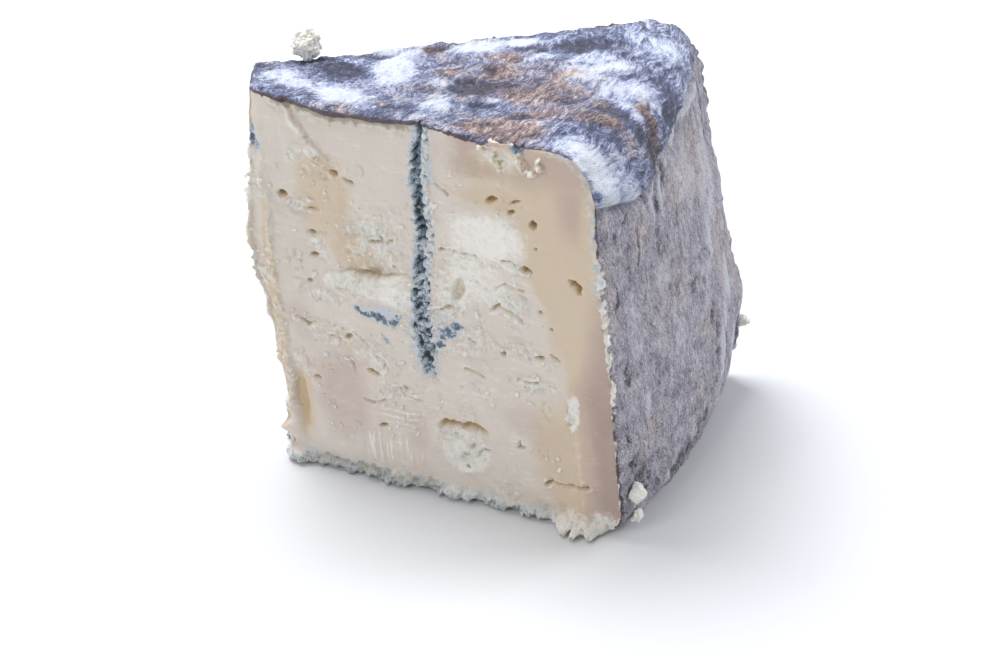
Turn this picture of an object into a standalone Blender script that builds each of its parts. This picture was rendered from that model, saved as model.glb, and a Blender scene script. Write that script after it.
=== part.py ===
"""A wedge of mould-ripened blue cheese with its natural rind, and the crumbs that stick to it.

The wedge is made the way the real one is: a tall wheel is turned, three straight cuts with a
knife take the piece out of it, and it slumps a little under its own weight. Rind and paste are
one grown body, so the wedge is one solid. Four crumbs of paste, torn off by the knife, cling to
the rind.

Units are metres and +Z is up. The piece stands on its bottom rind at Z = 0. +X runs from the
blunt tip, near the middle of the wheel, out to the rind, halfway between the two long cuts.
Run it with: blender --background --python part.py
"""

import math

import bmesh
import bpy
from mathutils import Vector, noise
from mathutils.bvhtree import BVHTree

# The wheel: its half section stands on Z = 0, and its widest place is low, where it has slumped.
WHEEL_RADIUS = 0.1518
WHEEL_HEIGHT = 0.1340
SHOULDER_RADIUS = 0.0130
SHOULDER_LEAN = 0.0082
WAIST_LEAN = 0.0018
WAIST_HEIGHT = 0.058
WIDEST_HEIGHT = 0.026
FOOT_RADIUS = 0.010
WHEEL_STEPS = 96
ARC_STEPS = 6

# The three cuts, measured from the point where the two long ones would meet.
MEETING_POINT = Vector((-0.1010, -0.0044, 0.0))
HALF_ANGLE = math.radians(17.0)
TIP_FRONT = Vector((0.0314, -0.0096, 0.0))
TIP_BACK = Vector((0.0291, 0.0089, 0.0))
WHEEL_CENTRE = Vector((0.0186, 0.0444, 0.0))
KNIFE_REACH = 0.240
KNIFE_CLEARANCE = 0.010

# How far ageing has moved the surface.
SIDE_SLUMP = 0.0080
SLUMP_REACH = 0.060
SIDE_BELLY = 0.0046
BELLY_HEIGHT = 0.031
BELLY_SPREAD = 0.020
TIP_BULGE = 0.0036
TIP_BULGE_HEIGHT = 0.084
TIP_BULGE_SPREAD = 0.036
SURFACE_SWELL = 0.0011
SWELL_LENGTH = 0.030

# The mesh of the finished solid.
GRID_DEPTH = 6
GRID_FILL = 0.54
FLOOR_SNAP = 0.0006

# The crumbs: each one's middle, from the meeting point, its size, and the seed of its shape.
CRUMB_ROUGHNESS = 0.28
CRUMB_GAP = 0.0003
CRUMB_STEP = 0.02
CRUMBS = (
    ("crumb_top", (0.0441, 0.0122, 0.1392), (0.0084, 0.0074, 0.0112), 11.0),
    ("crumb_side", (0.1735, 0.0478, 0.0230), (0.0056, 0.0042, 0.0036), 23.0),
    ("crumb_corner_upper", (0.1480, -0.0405, 0.0152), (0.0060, 0.0062, 0.0060), 37.0),
    ("crumb_corner_lower", (0.1477, -0.0398, 0.0062), (0.0046, 0.0046, 0.0046), 41.0),
)

PASTE_COLOUR = (0.80, 0.74, 0.62, 1.0)
CRUMB_COLOUR = (0.76, 0.70, 0.57, 1.0)


def clear_scene():
    """Remove every object that the file opened with."""
    for thing in list(bpy.data.objects):
        bpy.data.objects.remove(thing)


def collection_named(name):
    """A new collection in the scene."""
    made = bpy.data.collections.new(name)
    bpy.context.scene.collection.children.link(made)
    return made


def material_named(name, colour, roughness):
    """A plain Principled material of one colour."""
    made = bpy.data.materials.new(name)
    made.use_nodes = True
    shader = made.node_tree.nodes["Principled BSDF"]
    shader.inputs["Base Color"].default_value = colour
    shader.inputs["Roughness"].default_value = roughness
    shader.inputs["Metallic"].default_value = 0.0
    made.diffuse_color = colour
    return made


def object_from_bmesh(name, shape, collection):
    """A new object in the collection that holds the bmesh, which is freed."""
    mesh = bpy.data.meshes.new(name)
    shape.to_mesh(mesh)
    shape.free()
    made = bpy.data.objects.new(name, mesh)
    collection.objects.link(made)
    return made


def baked(source, name, collection):
    """A new object with the source's evaluated mesh in world space. The source is removed."""
    bpy.context.view_layer.update()
    graph = bpy.context.evaluated_depsgraph_get()
    mesh = bpy.data.meshes.new_from_object(source.evaluated_get(graph))
    mesh.transform(source.matrix_world)
    bpy.data.objects.remove(source)
    mesh.name = name
    made = bpy.data.objects.new(name, mesh)
    collection.objects.link(made)
    return made


def arc(centre_radius, centre_height, radius, start, end):
    """Points of an arc in the profile's plane, with its angles counted from +X towards +Z."""
    points = []
    for step in range(ARC_STEPS + 1):
        angle = start + (end - start) * step / ARC_STEPS
        out = centre_radius + radius * math.cos(angle)
        points.append((out, centre_height + radius * math.sin(angle)))
    return points


def wheel_profile():
    """The wheel's half section: from the middle of its top, down its flank, to its middle below."""
    shoulder = arc(
        WHEEL_RADIUS - SHOULDER_LEAN - SHOULDER_RADIUS,
        WHEEL_HEIGHT - SHOULDER_RADIUS,
        SHOULDER_RADIUS,
        math.pi / 2,
        0,
    )
    flank = [(WHEEL_RADIUS - WAIST_LEAN, WAIST_HEIGHT), (WHEEL_RADIUS, WIDEST_HEIGHT)]
    foot = arc(WHEEL_RADIUS - FOOT_RADIUS, FOOT_RADIUS, FOOT_RADIUS, 0, -math.pi / 2)
    return [(0.0, WHEEL_HEIGHT), *shoulder, *flank, *foot, (0.0, 0.0)]


def turned_wheel(collection):
    """The whole wheel, before it is cut."""
    shape = bmesh.new()
    points = [shape.verts.new((out, 0.0, height)) for out, height in wheel_profile()]
    for upper, lower in zip(points, points[1:]):
        shape.edges.new((upper, lower))
    wheel = object_from_bmesh("wheel", shape, collection)
    wheel.location = MEETING_POINT + WHEEL_CENTRE
    turn = wheel.modifiers.new("turn", "SCREW")
    turn.axis = "Z"
    turn.angle = math.tau
    turn.steps = WHEEL_STEPS
    turn.render_steps = WHEEL_STEPS
    turn.use_merge_vertices = True
    turn.merge_threshold = 0.0001
    turn.use_normal_calculate = True
    return wheel


def knife_outline():
    """The corners, seen from above, of the prism that the three cuts leave."""
    front = Vector((math.cos(HALF_ANGLE), -math.sin(HALF_ANGLE), 0.0)) * KNIFE_REACH
    back = Vector((math.cos(HALF_ANGLE), math.sin(HALF_ANGLE), 0.0)) * KNIFE_REACH
    return [MEETING_POINT + corner for corner in (TIP_FRONT, front, back, TIP_BACK)]


def knife_prism(collection):
    """The prism between the cuts, taller than the wheel."""
    shape = bmesh.new()
    outline = [shape.verts.new(corner) for corner in knife_outline()]
    floor = shape.faces.new(outline)
    bmesh.ops.translate(shape, verts=outline, vec=(0.0, 0.0, -KNIFE_CLEARANCE))
    raised = bmesh.ops.extrude_face_region(shape, geom=[floor])
    lid = [item for item in raised["geom"] if isinstance(item, bmesh.types.BMVert)]
    bmesh.ops.translate(shape, verts=lid, vec=(0.0, 0.0, WHEEL_HEIGHT + 2 * KNIFE_CLEARANCE))
    bmesh.ops.recalc_face_normals(shape, faces=shape.faces)
    prism = object_from_bmesh("knife_prism", shape, collection)
    prism.hide_render = True
    prism.display_type = "WIRE"
    return prism


def slumped(point):
    """How far a point has moved along its ray from the meeting point.

    The far corner of the rind has sunk and spread more than the near one, so its shoulder leans
    back further and its foot tucks under.
    """
    ray = (point - MEETING_POINT).to_2d()
    across = math.atan2(ray.y, ray.x) / HALF_ANGLE
    near_rim = min(1.0, (point - MEETING_POINT - WHEEL_CENTRE).to_2d().length / WHEEL_RADIUS) ** 6
    off_waist = (point.z - WAIST_HEIGHT) / SLUMP_REACH
    off_belly = (point.z - BELLY_HEIGHT) / BELLY_SPREAD
    lean = -0.5 * SIDE_SLUMP * across * off_waist**2
    belly = SIDE_BELLY * max(0.0, across) ** 2 * math.exp(-(off_belly**2))
    return Vector((ray.x, ray.y, 0.0)).normalized() * near_rim * (lean + belly)


def bulged(point):
    """How far the soft tip has bulged out at a point."""
    near_tip = max(0.0, 1.0 - (point - MEETING_POINT - TIP_BACK).x / 0.02)
    rise = (point.z - TIP_BULGE_HEIGHT) / TIP_BULGE_SPREAD
    return Vector((-TIP_BULGE * near_tip * math.exp(-(rise**2)), 0.0, 0.0))


def swelled(point, normal):
    """The slow uneven swelling of the surface at a point, which fades out at the flat bottom."""
    off_floor = min(1.0, max(0.0, point.z / 0.012))
    return normal * (SURFACE_SWELL * off_floor * noise.fractal(point / SWELL_LENGTH, 1.0, 2.0, 2))


def aged(wedge):
    """Move the surface of the knife-sharp solid as ripening has, and press its bottom flat."""
    wedge.data.update()
    normals = [vertex.normal.copy() for vertex in wedge.data.vertices]
    for vertex, normal in zip(wedge.data.vertices, normals):
        point = vertex.co.copy()
        vertex.co = point + slumped(point) + bulged(point) + swelled(point, normal)
        if point.z < FLOOR_SNAP:
            vertex.co.z = 0.0


def cheese_wedge(collection, cutters):
    """The wedge of cheese, rind and paste in one."""
    wheel = turned_wheel(collection)
    cut = wheel.modifiers.new("cut_out", "BOOLEAN")
    cut.operation = "INTERSECT"
    cut.object = knife_prism(cutters)
    skin = wheel.modifiers.new("skin", "REMESH")
    skin.mode = "SHARP"
    skin.octree_depth = GRID_DEPTH
    skin.scale = GRID_FILL
    wedge = baked(wheel, "cheese_wedge", collection)
    aged(wedge)
    wedge.data.materials.clear()
    wedge.data.materials.append(material_named("rind_and_paste", PASTE_COLOUR, 0.6))
    wedge.data.shade_smooth()
    wedge.data.set_sharp_from_angle(angle=math.radians(35))
    return wedge


def drawn_in(tree, centre, point):
    """The point, drawn in towards the crumb's middle until it stands clear of the wedge."""
    share = 1.0
    while share > CRUMB_STEP:
        place = centre + (point - centre) * share
        nearest, normal, _, _ = tree.find_nearest(place)
        if (place - nearest).dot(normal) >= CRUMB_GAP:
            break
        share -= CRUMB_STEP
    return centre + (point - centre) * share


def crumb(name, offset, size, seed, tree, collection):
    """One crumb: a rough lump, seated against the wedge."""
    centre = MEETING_POINT + Vector(offset)
    shape = bmesh.new()
    bmesh.ops.create_icosphere(shape, subdivisions=3, radius=0.5)
    for vertex in shape.verts:
        bumps = noise.fractal(vertex.co * 3.0 + Vector((seed, 0.0, 0.0)), 1.0, 2.0, 3)
        lump = vertex.co * (1.0 + CRUMB_ROUGHNESS * bumps)
        spread = Vector([side * share for side, share in zip(size, lump)])
        vertex.co = drawn_in(tree, centre, centre + spread)
    made = object_from_bmesh(name, shape, collection)
    made.data.materials.append(material_named(name, CRUMB_COLOUR, 0.7))
    made.data.shade_smooth()
    return made


def main():
    """Build the wedge and its crumbs."""
    clear_scene()
    part = collection_named("cheese_wedge_part")
    cutters = collection_named("cutters")
    wedge = cheese_wedge(part, cutters)
    bpy.context.view_layer.update()
    tree = BVHTree.FromObject(wedge, bpy.context.evaluated_depsgraph_get())
    for name, offset, size, seed in CRUMBS:
        crumb(name, offset, size, seed, tree, part)


main()
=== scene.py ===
"""The looks of a wedge of mould-ripened blue cheese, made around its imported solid.

The wedge stands with its blunt tip towards -X and its rind towards +X. Three faces were cut with a
knife: the front one towards -Y, the back one towards +Y and the narrow tip. They show the paste:
ivory curd that crumbles in its core, turns creamy under the rind, and is pierced by a channel of
blue mould. The top, the side and the bottom are natural rind. All lengths inside this file are in
millimetres, and a mesh is turned into metres when it is written.
"""

import logging
import math
from dataclasses import dataclass, field, fields
from enum import Enum
from typing import Any

import bpy
import numpy as np
from mathutils import Matrix, Vector
from mathutils.bvhtree import BVHTree


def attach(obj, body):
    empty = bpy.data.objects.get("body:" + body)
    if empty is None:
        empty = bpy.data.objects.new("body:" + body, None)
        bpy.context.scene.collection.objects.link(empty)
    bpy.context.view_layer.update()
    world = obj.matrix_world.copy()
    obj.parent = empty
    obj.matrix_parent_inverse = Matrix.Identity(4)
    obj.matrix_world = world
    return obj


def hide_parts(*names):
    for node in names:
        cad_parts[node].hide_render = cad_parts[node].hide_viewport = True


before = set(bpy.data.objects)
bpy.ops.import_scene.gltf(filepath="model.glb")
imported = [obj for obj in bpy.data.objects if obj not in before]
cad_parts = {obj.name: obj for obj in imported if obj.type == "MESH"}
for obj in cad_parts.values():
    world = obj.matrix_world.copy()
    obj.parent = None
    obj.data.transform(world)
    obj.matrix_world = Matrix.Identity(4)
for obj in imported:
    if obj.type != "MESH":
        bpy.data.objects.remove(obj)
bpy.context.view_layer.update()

log = logging.getLogger("cheese")
MM = 0.001
Array = np.ndarray
Line = tuple[tuple[float, float], ...]
Colour = tuple[float, float, float]


# --- Noise ---


class Noise:
    """Smooth and cellular noise that repeats from its seed. Points and sizes share one unit."""

    TABLE = 256

    def __init__(self, seed: int) -> None:
        """Shuffle the tables.

        Args:
            seed: Two noises with the same seed are the same.
        """
        chance = np.random.default_rng(seed)
        self.order = chance.permutation(self.TABLE)
        slopes = chance.normal(size=(self.TABLE, 3))
        self.slopes = (slopes / np.linalg.norm(slopes, axis=1, keepdims=True)).astype(np.float32)
        self.draws = chance.random((self.TABLE, 3)).astype(np.float32)

    def _pick(self, cell: Array) -> Array:
        """Table rows for whole-number cells of two or three coordinates."""
        row = self.order[cell[:, 0] & 255]
        for axis in range(1, cell.shape[1]):
            row = self.order[(row + cell[:, axis]) & 255]
        return row

    def smooth(self, points: Array, size: float | tuple[float, ...]) -> Array:
        """Gradient noise.

        Args:
            points: One row of three coordinates for each point.
            size: How far apart its hills are, for all axes or for each.

        Returns:
            About -1 to 1 for each point.
        """
        scaled = (points / np.asarray(size, np.float64)).astype(np.float64)
        corner = np.floor(scaled).astype(np.int64)
        inside = (scaled - corner).astype(np.float32)
        fade = inside**3 * (inside * (inside * 6 - 15) + 10)
        total = np.zeros(len(points), np.float32)
        for step in range(8):
            offset = np.array([(step >> axis) & 1 for axis in range(3)])
            slope = self.slopes[self._pick(corner + offset)]
            lean = np.einsum("ij,ij->i", inside - offset.astype(np.float32), slope)
            share = np.where(offset, fade, 1 - fade)
            total += lean * share[:, 0] * share[:, 1] * share[:, 2]
        return total * 1.7

    def fractal(
        self, points: Array, size: float | tuple[float, ...], octaves: int = 3, fall: float = 0.5
    ) -> Array:
        """Several layers of gradient noise, each half the size of the one before.

        Args:
            points: One row of three coordinates for each point.
            size: The size of the first layer.
            octaves: How many layers.
            fall: How strong each layer is beside the one before.

        Returns:
            About -1 to 1 for each point.
        """
        total = np.zeros(len(points), np.float32)
        strength, whole = 1.0, 0.0
        for octave in range(octaves):
            drift = 17.3 * octave
            total += strength * self.smooth(points + drift, np.asarray(size) / 2**octave)
            whole += strength
            strength *= fall
        return total / whole

    def ridged(self, points: Array, size: float | tuple[float, ...], octaves: int = 3) -> Array:
        """Creased noise: sharp ridges at 1, falling towards 0."""
        total = np.zeros(len(points), np.float32)
        strength, whole = 1.0, 0.0
        for octave in range(octaves):
            layer = 1 - np.abs(self.smooth(points + 9.1 * octave, np.asarray(size) / 2**octave))
            total += strength * layer
            whole += strength
            strength *= 0.5
        return total / whole

    def cells(self, flat: Array, size: float) -> tuple[Array, Array]:
        """Scattered seeds in a plane.

        Args:
            flat: One row of two coordinates for each point.
            size: How far apart the seeds are.

        Returns:
            The distance to the nearest seed, in sizes, and that seed's own number from 0 to 1.
        """
        scaled = flat / size
        corner = np.floor(scaled).astype(np.int64)
        nearest = np.full(len(flat), 9.0, np.float32)
        number = np.zeros(len(flat), np.float32)
        for across in (-1, 0, 1):
            for along in (-1, 0, 1):
                cell = corner + (across, along)
                draw = self.draws[self._pick(cell)]
                gap = np.linalg.norm(cell + draw[:, :2] - scaled, axis=1)
                closer = gap < nearest
                nearest = np.where(closer, gap, nearest)
                number = np.where(closer, draw[:, 2], number)
        return nearest, number


def rise_between(low: float, high: float, value: Array) -> Array:
    """0 below low, 1 above high, and a smooth rise between them. Low may be the larger."""
    share = np.clip((value - low) / (high - low), 0, 1)
    return share * share * (3 - 2 * share)


def fall_between(low: float, high: float, value: Array) -> Array:
    """1 below low, 0 above high, and a smooth fall between them."""
    return 1 - rise_between(low, high, value)


def bell(value: Array, middle: Any, width: Any) -> Array:
    """1 at the middle, falling to nothing a few widths away on both sides."""
    return np.exp(-(((value - middle) / width) ** 2))


def followed(value: Array, *line: tuple[float, float]) -> Array:
    """Read a broken line, given by its points from left to right, at each value."""
    places, levels = zip(*line)
    return np.interp(value, places, levels)


def terraced(value: Array, step: float, slope: float) -> Array:
    """Turn a slope into shelves: flat for most of each step, then a drop over the slope's share.

    Args:
        value: The slope.
        step: How high a shelf is.
        slope: The share of each step that the drop takes.

    Returns:
        The shelves.
    """
    level = np.floor(value / step)
    within = value / step - level
    return step * (level + rise_between(0.5 - slope / 2, 0.5 + slope / 2, within))


def domes(distance: Array, radius: float) -> Array:
    """Round lumps, 1 at a seed and 0 at the radius, from distances to the nearest seed."""
    return np.sqrt(np.clip(1 - (distance / radius) ** 2, 0, 1))


# --- The layout of the wedge ---


class Face(Enum):
    """The kinds of surface on the wedge."""

    RIND = 0
    FRONT = 1
    BACK = 2
    TIP = 3


@dataclass(frozen=True)
class Layout:
    """Where the cuts and the wheel lie, in the part's frame, in millimetres."""

    meeting: tuple[float, float] = (-101.0, -4.4)
    half_angle: float = math.radians(17.0)
    tip_front: tuple[float, float] = (31.4, -9.6)
    tip_back: tuple[float, float] = (29.1, 8.9)
    wheel_centre: tuple[float, float] = (18.6, 44.4)
    front_start: float = 33.4
    back_start: float = 30.4
    wheel_radius: float = 150.0
    top_radius: float = 131.0
    near_rim_angle: float = math.radians(-35.6)
    shoulder: float = 13.0
    height: float = 134.0

    def along(self, face: Face) -> Array:
        """The level direction from the tip to the rim on a long cut, or along the tip's cut."""
        angle = {Face.FRONT: -self.half_angle, Face.BACK: self.half_angle}.get(face)
        if angle is None:
            across = np.subtract(self.tip_back, self.tip_front)
            return np.array([*(across / np.linalg.norm(across)), 0.0])
        return np.array([math.cos(angle), math.sin(angle), 0.0])

    def outward(self, face: Face) -> Array:
        """The outward normal of a cut."""
        run = self.along(face)
        turn = {Face.FRONT: (run[1], -run[0]), Face.BACK: (-run[1], run[0])}
        flat = turn.get(face, (-run[1], run[0]))
        return np.array([*flat, 0.0])

    def run(self, face: Face, points: Array) -> Array:
        """How far along a cut each point is, from the cut's edge at the tip.

        Args:
            face: The cut.
            points: The points.

        Returns:
            The distances.
        """
        flat = points[:, :2] - self.meeting
        if face is Face.TIP:
            return (flat - self.tip_front) @ self.along(face)[:2]
        start = self.front_start if face is Face.FRONT else self.back_start
        return flat @ self.along(face)[:2] - start

    def round_rind(self, points: Array) -> tuple[Array, Array, Array]:
        """Coordinates that follow the rind.

        Args:
            points: Points near the rind.

        Returns:
            The way round the rim from the near corner, the way out from the wheel's axis over
            the shoulder and down the side, and the distance from the axis.
        """
        flat = points[:, :2] - self.meeting - self.wheel_centre
        radius = np.linalg.norm(flat, axis=1)
        angle = np.arctan2(flat[:, 1], flat[:, 0]) - self.near_rim_angle
        inner = self.top_radius
        over = radius - inner
        under = points[:, 2] - (self.height - self.shoulder)
        turn = np.arctan2(np.clip(over, 0, None), np.clip(under, 1e-3, None))
        arc = inner + self.shoulder * turn
        side = inner + self.shoulder * math.pi / 2 - under
        way_out = np.where(over < 0, radius, np.where(under > 0, arc, side))
        return angle * self.wheel_radius, way_out, radius


LAYOUT = Layout()


@dataclass(frozen=True)
class Spot:
    """An ellipse on a face: its middle, its half sizes, its tilt in degrees, and its strength."""

    run: float
    rise: float
    half_run: float
    half_rise: float
    strength: float = 1.0
    tilt: float = 0.0

    def nearness(self, run: Array, rise: Array) -> Array:
        """How far out each point is: 0 in the middle and 1 on the ellipse.

        Args:
            run: How far along the face each point is.
            rise: How high each point is.

        Returns:
            The distances, in half sizes.
        """
        turn = math.radians(self.tilt)
        across, up = run - self.run, rise - self.rise
        first = (across * math.cos(turn) + up * math.sin(turn)) / self.half_run
        second = (up * math.cos(turn) - across * math.sin(turn)) / self.half_rise
        return np.hypot(first, second)

    def soft(self, run: Array, rise: Array) -> Array:
        """A soft spot that fades to nothing at the ellipse."""
        return self.strength * fall_between(0.35, 1.15, self.nearness(run, rise))


Spots = tuple[Spot, ...]


@dataclass(frozen=True)
class Crack:
    """A line on a face through a few points, with a half width and a depth."""

    points: Line
    half_width: float = 0.45
    depth: float = 1.0

    def distance(self, run: Array, rise: Array) -> Array:
        """How far each point is from the line."""
        best = np.full(len(run), 1e9)
        for (x0, y0), (x1, y1) in zip(self.points, self.points[1:]):
            dx, dy = x1 - x0, y1 - y0
            share = np.clip(((run - x0) * dx + (rise - y0) * dy) / (dx * dx + dy * dy), 0, 1)
            best = np.minimum(best, np.hypot(run - x0 - share * dx, rise - y0 - share * dy))
        return best

    def side(self, run: Array, rise: Array) -> Array:
        """The signed distance: positive on the left of the way the points go."""
        (x0, y0), (x1, y1) = self.points[0], self.points[-1]
        turn = (x1 - x0) * (rise - y0) - (y1 - y0) * (run - x0)
        return np.sign(turn) * self.distance(run, rise)


@dataclass
class Maps:
    """What is worked out for each vertex of a cut, before it becomes attributes."""

    height: Array
    crumbly: Array
    blue: Array
    # Yellow-brown tint and darkening of recesses: partly the holes' own colour, partly painted shade.
    hollow: Array
    cream: Array
    rosy: Array
    olive: Array
    white: Array

    @classmethod
    def blank(cls, count: int) -> "Maps":
        """Flat, plain maps."""
        return cls(*(np.zeros(count, np.float32) for _ in fields(cls)))

    def most(self, **layers: Array) -> None:
        """Raise the named maps to new values, wherever those are higher."""
        for name, values in layers.items():
            setattr(self, name, np.maximum(getattr(self, name), values))


def gathered(spots: Spots, run: Array, rise: Array) -> Array:
    """The strongest of several soft spots at each point.

    Args:
        spots: The spots.
        run: How far along the cut each point is.
        rise: How high each point is.

    Returns:
        The strength, 0 outside all of them.
    """
    total = np.zeros(len(run), np.float32)
    for spot in spots:
        total = np.maximum(total, spot.soft(run, rise))
    return total


# --- The cut faces ---


@dataclass
class CutFace:
    """A knife-cut face of curd: how its surface stands, crumbles, blues and hollows.

    The channel's three lines give its run, its half width and how open it is at each height. Each
    feature's method adds to the maps, and is given the vertices, how far along the cut each one is
    (run), how high it is (rise) and, where it matters, how far it is under the rind (depth).
    """

    face: Face = Face.BACK
    seed: int = 3
    crumbly: Spots = ()
    sliced: Spots = ()
    holes: Spots = ()
    cracks: tuple[Crack, ...] = ()
    blues: Spots = ()
    channel: Line = ()
    channel_widths: Line = ()
    channel_open: Line = ((80, 0), (90, 1))
    channel_depth: float = 2.6
    core_crumble: float = 0.45

    def __post_init__(self) -> None:
        """Give the face its own noise."""
        self.noise = Noise(self.seed)

    def surface(self, points: Array, depth: Array) -> Maps:
        """Work the whole face out.

        Args:
            points: The vertices on the face.
            depth: How far each one is under the rind.

        Returns:
            The maps of the face.
        """
        run, rise = LAYOUT.run(self.face, points), points[:, 2]
        maps = Maps.blank(len(points))
        wander = 1.6 * self.noise.fractal(points, 7, 3)
        maps.crumbly = self.crumble(points, run + wander, rise - wander, depth)
        self.tones(maps, points, run, rise, depth)
        self.curd(maps, points, run, rise, depth)
        self.open_holes(maps, points, run, rise)
        self.crack(maps, points, run, rise)
        self.vein(maps, points, run, rise)
        self.features(maps, points, run, rise)
        self.edges(maps, points, run, rise)
        return maps

    def crumble(self, points: Array, run: Array, rise: Array, depth: Array) -> Array:
        """Where the curd broke instead of slicing: everywhere a little, most at its spots.

        Args:
            points: The vertices.
            run: How far along the cut each one is.
            rise: How high each one is.
            depth: How far under the rind each one is.

        Returns:
            0 for sliced curd, up to 1 for broken.
        """
        patchy = rise_between(0.08, 0.45, self.noise.fractal(points + 40, 11, 4, 0.65))
        core = rise_between(9, 20, depth)
        bottom = fall_between(2, 7, rise)
        spots = gathered(self.crumbly, run, rise)
        calm = 1 - gathered(self.sliced, run, rise)
        broken = np.maximum(self.core_crumble * patchy * core * calm, spots)
        broken *= 0.65 + 0.6 * rise_between(-0.3, 0.3, self.noise.fractal(points + 90, 3.6, 3))
        return np.clip(np.maximum(broken, bottom), 0, 1)

    def tones(self, maps: Maps, points: Array, run: Array, rise: Array, depth: Array) -> None:
        """Cream, then rosy paste under the rind, and whiter curd in the core."""
        under = depth + 5.0 * self.noise.fractal(points + 60, 22, 3)
        maps.cream = 0.9 * fall_between(13, 22, under)
        maps.rosy = 0.9 * fall_between(3, 10, under)
        maps.white = rise_between(-0.1, 0.6, self.noise.fractal(points + 35, 24, 2)) * (1 - maps.cream)
        maps.olive = 0.6 * fall_between(0.8, 2.6, depth)

    def curd(self, maps: Maps, points: Array, run: Array, rise: Array, depth: Array) -> None:
        """The swell, the knife's drag, the shelves and the grains where the curd broke."""
        flat = np.stack([run, rise], 1)
        level = np.stack([run, rise, run * 0], 1)
        swell = 0.34 * self.noise.fractal(points, 15, 2)
        drag = 0.07 * self.noise.smooth(level, (1.4, 11, 9))
        drag = drag + 0.05 * self.noise.fractal(points, 2.2, 2)
        strays = [self.noise.fractal(points, 2, 2), self.noise.fractal(points + 7, 2, 2)]
        warp = 1.1 * np.stack(strays, 1)
        big, big_id = self.noise.cells(flat + 2 * warp, 3.1)
        small, small_id = self.noise.cells(flat + 31 + warp, 1.55)
        grains = 1.15 * domes(big, 0.60) * rise_between(0.45, 0.95, big_id)
        grains += 0.70 * domes(small, 0.62) * rise_between(0.25, 0.8, small_id)
        torn = 1.15 * self.noise.fractal(points + 11, 4.4, 4, 0.62)
        flakes = self.noise.fractal(level + 50, (15, 7.5, 9), 3, 0.55)
        broken = rise_between(0, 0.42, maps.crumbly)
        shelves = terraced(2.6 * flakes, 0.85, 0.22)
        core = rise_between(10, 22, depth) * (1 - gathered(self.sliced, run, rise))
        maps.height += swell + drag + shelves * (0.16 * core + 0.60 * broken)
        maps.height += maps.crumbly * (torn + grains - 0.45)
        pits, pit_id = self.noise.cells(flat + 77 + warp, 3)
        pitted = domes(pits, 0.36) * (pit_id > 0.6) * rise_between(0.3, 0.7, maps.crumbly)
        maps.height -= 1.1 * maps.crumbly * pitted
        # Pits between torn grains darkened: painted shade.
        maps.most(hollow=0.6 * maps.crumbly * rise_between(0.3, 1.2, pitted - torn))
        gathered_up = rise_between(-0.15, 0.30, self.noise.fractal(points + 85, 8, 2))
        crumbs = rise_between(0.27, 0.40, self.noise.fractal(points + 3, 2.1, 2, 0.6)) * core * gathered_up
        maps.height += 0.85 * crumbs
        maps.most(crumbly=0.7 * crumbs, white=crumbs)

    def open_holes(self, maps: Maps, points: Array, run: Array, rise: Array) -> None:
        """Small eyes that gas or the curd's own gaps left."""
        ragged = 0.48 * self.noise.fractal(points + 5, 1.7, 3, 0.65)
        for hole in self.holes:
            near = hole.nearness(run, rise) + ragged
            inside = fall_between(0.60, 0.98, near)
            rim = bell(near, 1.25, 0.24) * rise_between(-0.1, 0.2, ragged)
            maps.height += 0.22 * rim - 1.15 * hole.strength * inside
            # Insides darkened as painted shade; the whiter rim is torn curd, partly a painted highlight.
            maps.most(hollow=inside * min(1.0, 0.65 + 0.2 * hole.strength), white=0.6 * rim)

    def crack(self, maps: Maps, points: Array, run: Array, rise: Array) -> None:
        """Short cracks where the knife pulled the curd apart."""
        across = 1.0 * self.noise.fractal(points + 23, 3.4, 3)
        up = 1.0 * self.noise.fractal(points + 53, 3.4, 3)
        whole = rise_between(-0.30, 0.30, self.noise.fractal(points + 66, 2.6, 2))
        for crack in self.cracks:
            gap, width = crack.distance(run + across, rise + up), crack.half_width
            inside = bell(gap, 0, width * (0.6 + 0.4 * whole)) * (0.45 + 0.55 * whole)
            lip = bell(gap, 2.2 * width, width) * whole
            maps.height += 0.35 * crack.depth * lip - 1.2 * crack.depth * inside
            # Insides darkened as painted shade; the whiter lip is torn curd, partly a painted highlight.
            maps.most(hollow=0.85 * inside * min(1.0, crack.depth), white=0.65 * lip)

    def vein(self, maps: Maps, points: Array, run: Array, rise: Array) -> None:
        """The needle's channel, open above and closed up with mould below."""
        if not self.channel:
            return
        lowest = self.channel[0][0]
        wobble = 0.75 * self.noise.fractal(points + 3, 4.2, 3)
        off = run - followed(rise, *self.channel) - wobble
        swollen = 1 + 0.55 * self.noise.fractal(points + 25, 2.8, 3)
        half = followed(rise, *self.channel_widths) * swollen
        ends = rise_between(lowest - 3, lowest + 5, rise)
        broken = self.noise.fractal(points + 58, 3.4, 3)
        open_part = rise_between(0.25, 0.75, followed(rise, *self.channel_open) + 0.45 * broken) * ends
        warp = 0.45 * np.stack([self.noise.smooth(points, 1.5), self.noise.smooth(points + 4, 1.5)], 1)
        near, number = self.noise.cells(np.stack([run, rise], 1) + 13 + warp, 1.45)
        lumps = domes(near, 0.66) * (0.35 + 0.65 * number)
        slit = fall_between(0.62, 1.15, np.abs(off) / half + 0.55 * (lumps - 0.4))
        band = fall_between(0.9, 1.5, np.abs(off) / (half + 1.2))
        maps.height -= open_part * slit * (self.channel_depth - 2.2 * lumps)
        lips = bell(np.abs(off - 0.7) - half, 0.8, 1.2) * ends
        maps.height += lips * (1.7 * lumps - 0.55)
        closed = (1 - open_part) * ends * band
        maps.height += closed * (1.6 * lumps - 1.2)
        gaps = fall_between(0.15, 0.60, lumps)
        pockets = open_part * slit * (0.22 + 0.58 * gaps) + 0.75 * gaps * (closed + lips)
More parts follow.
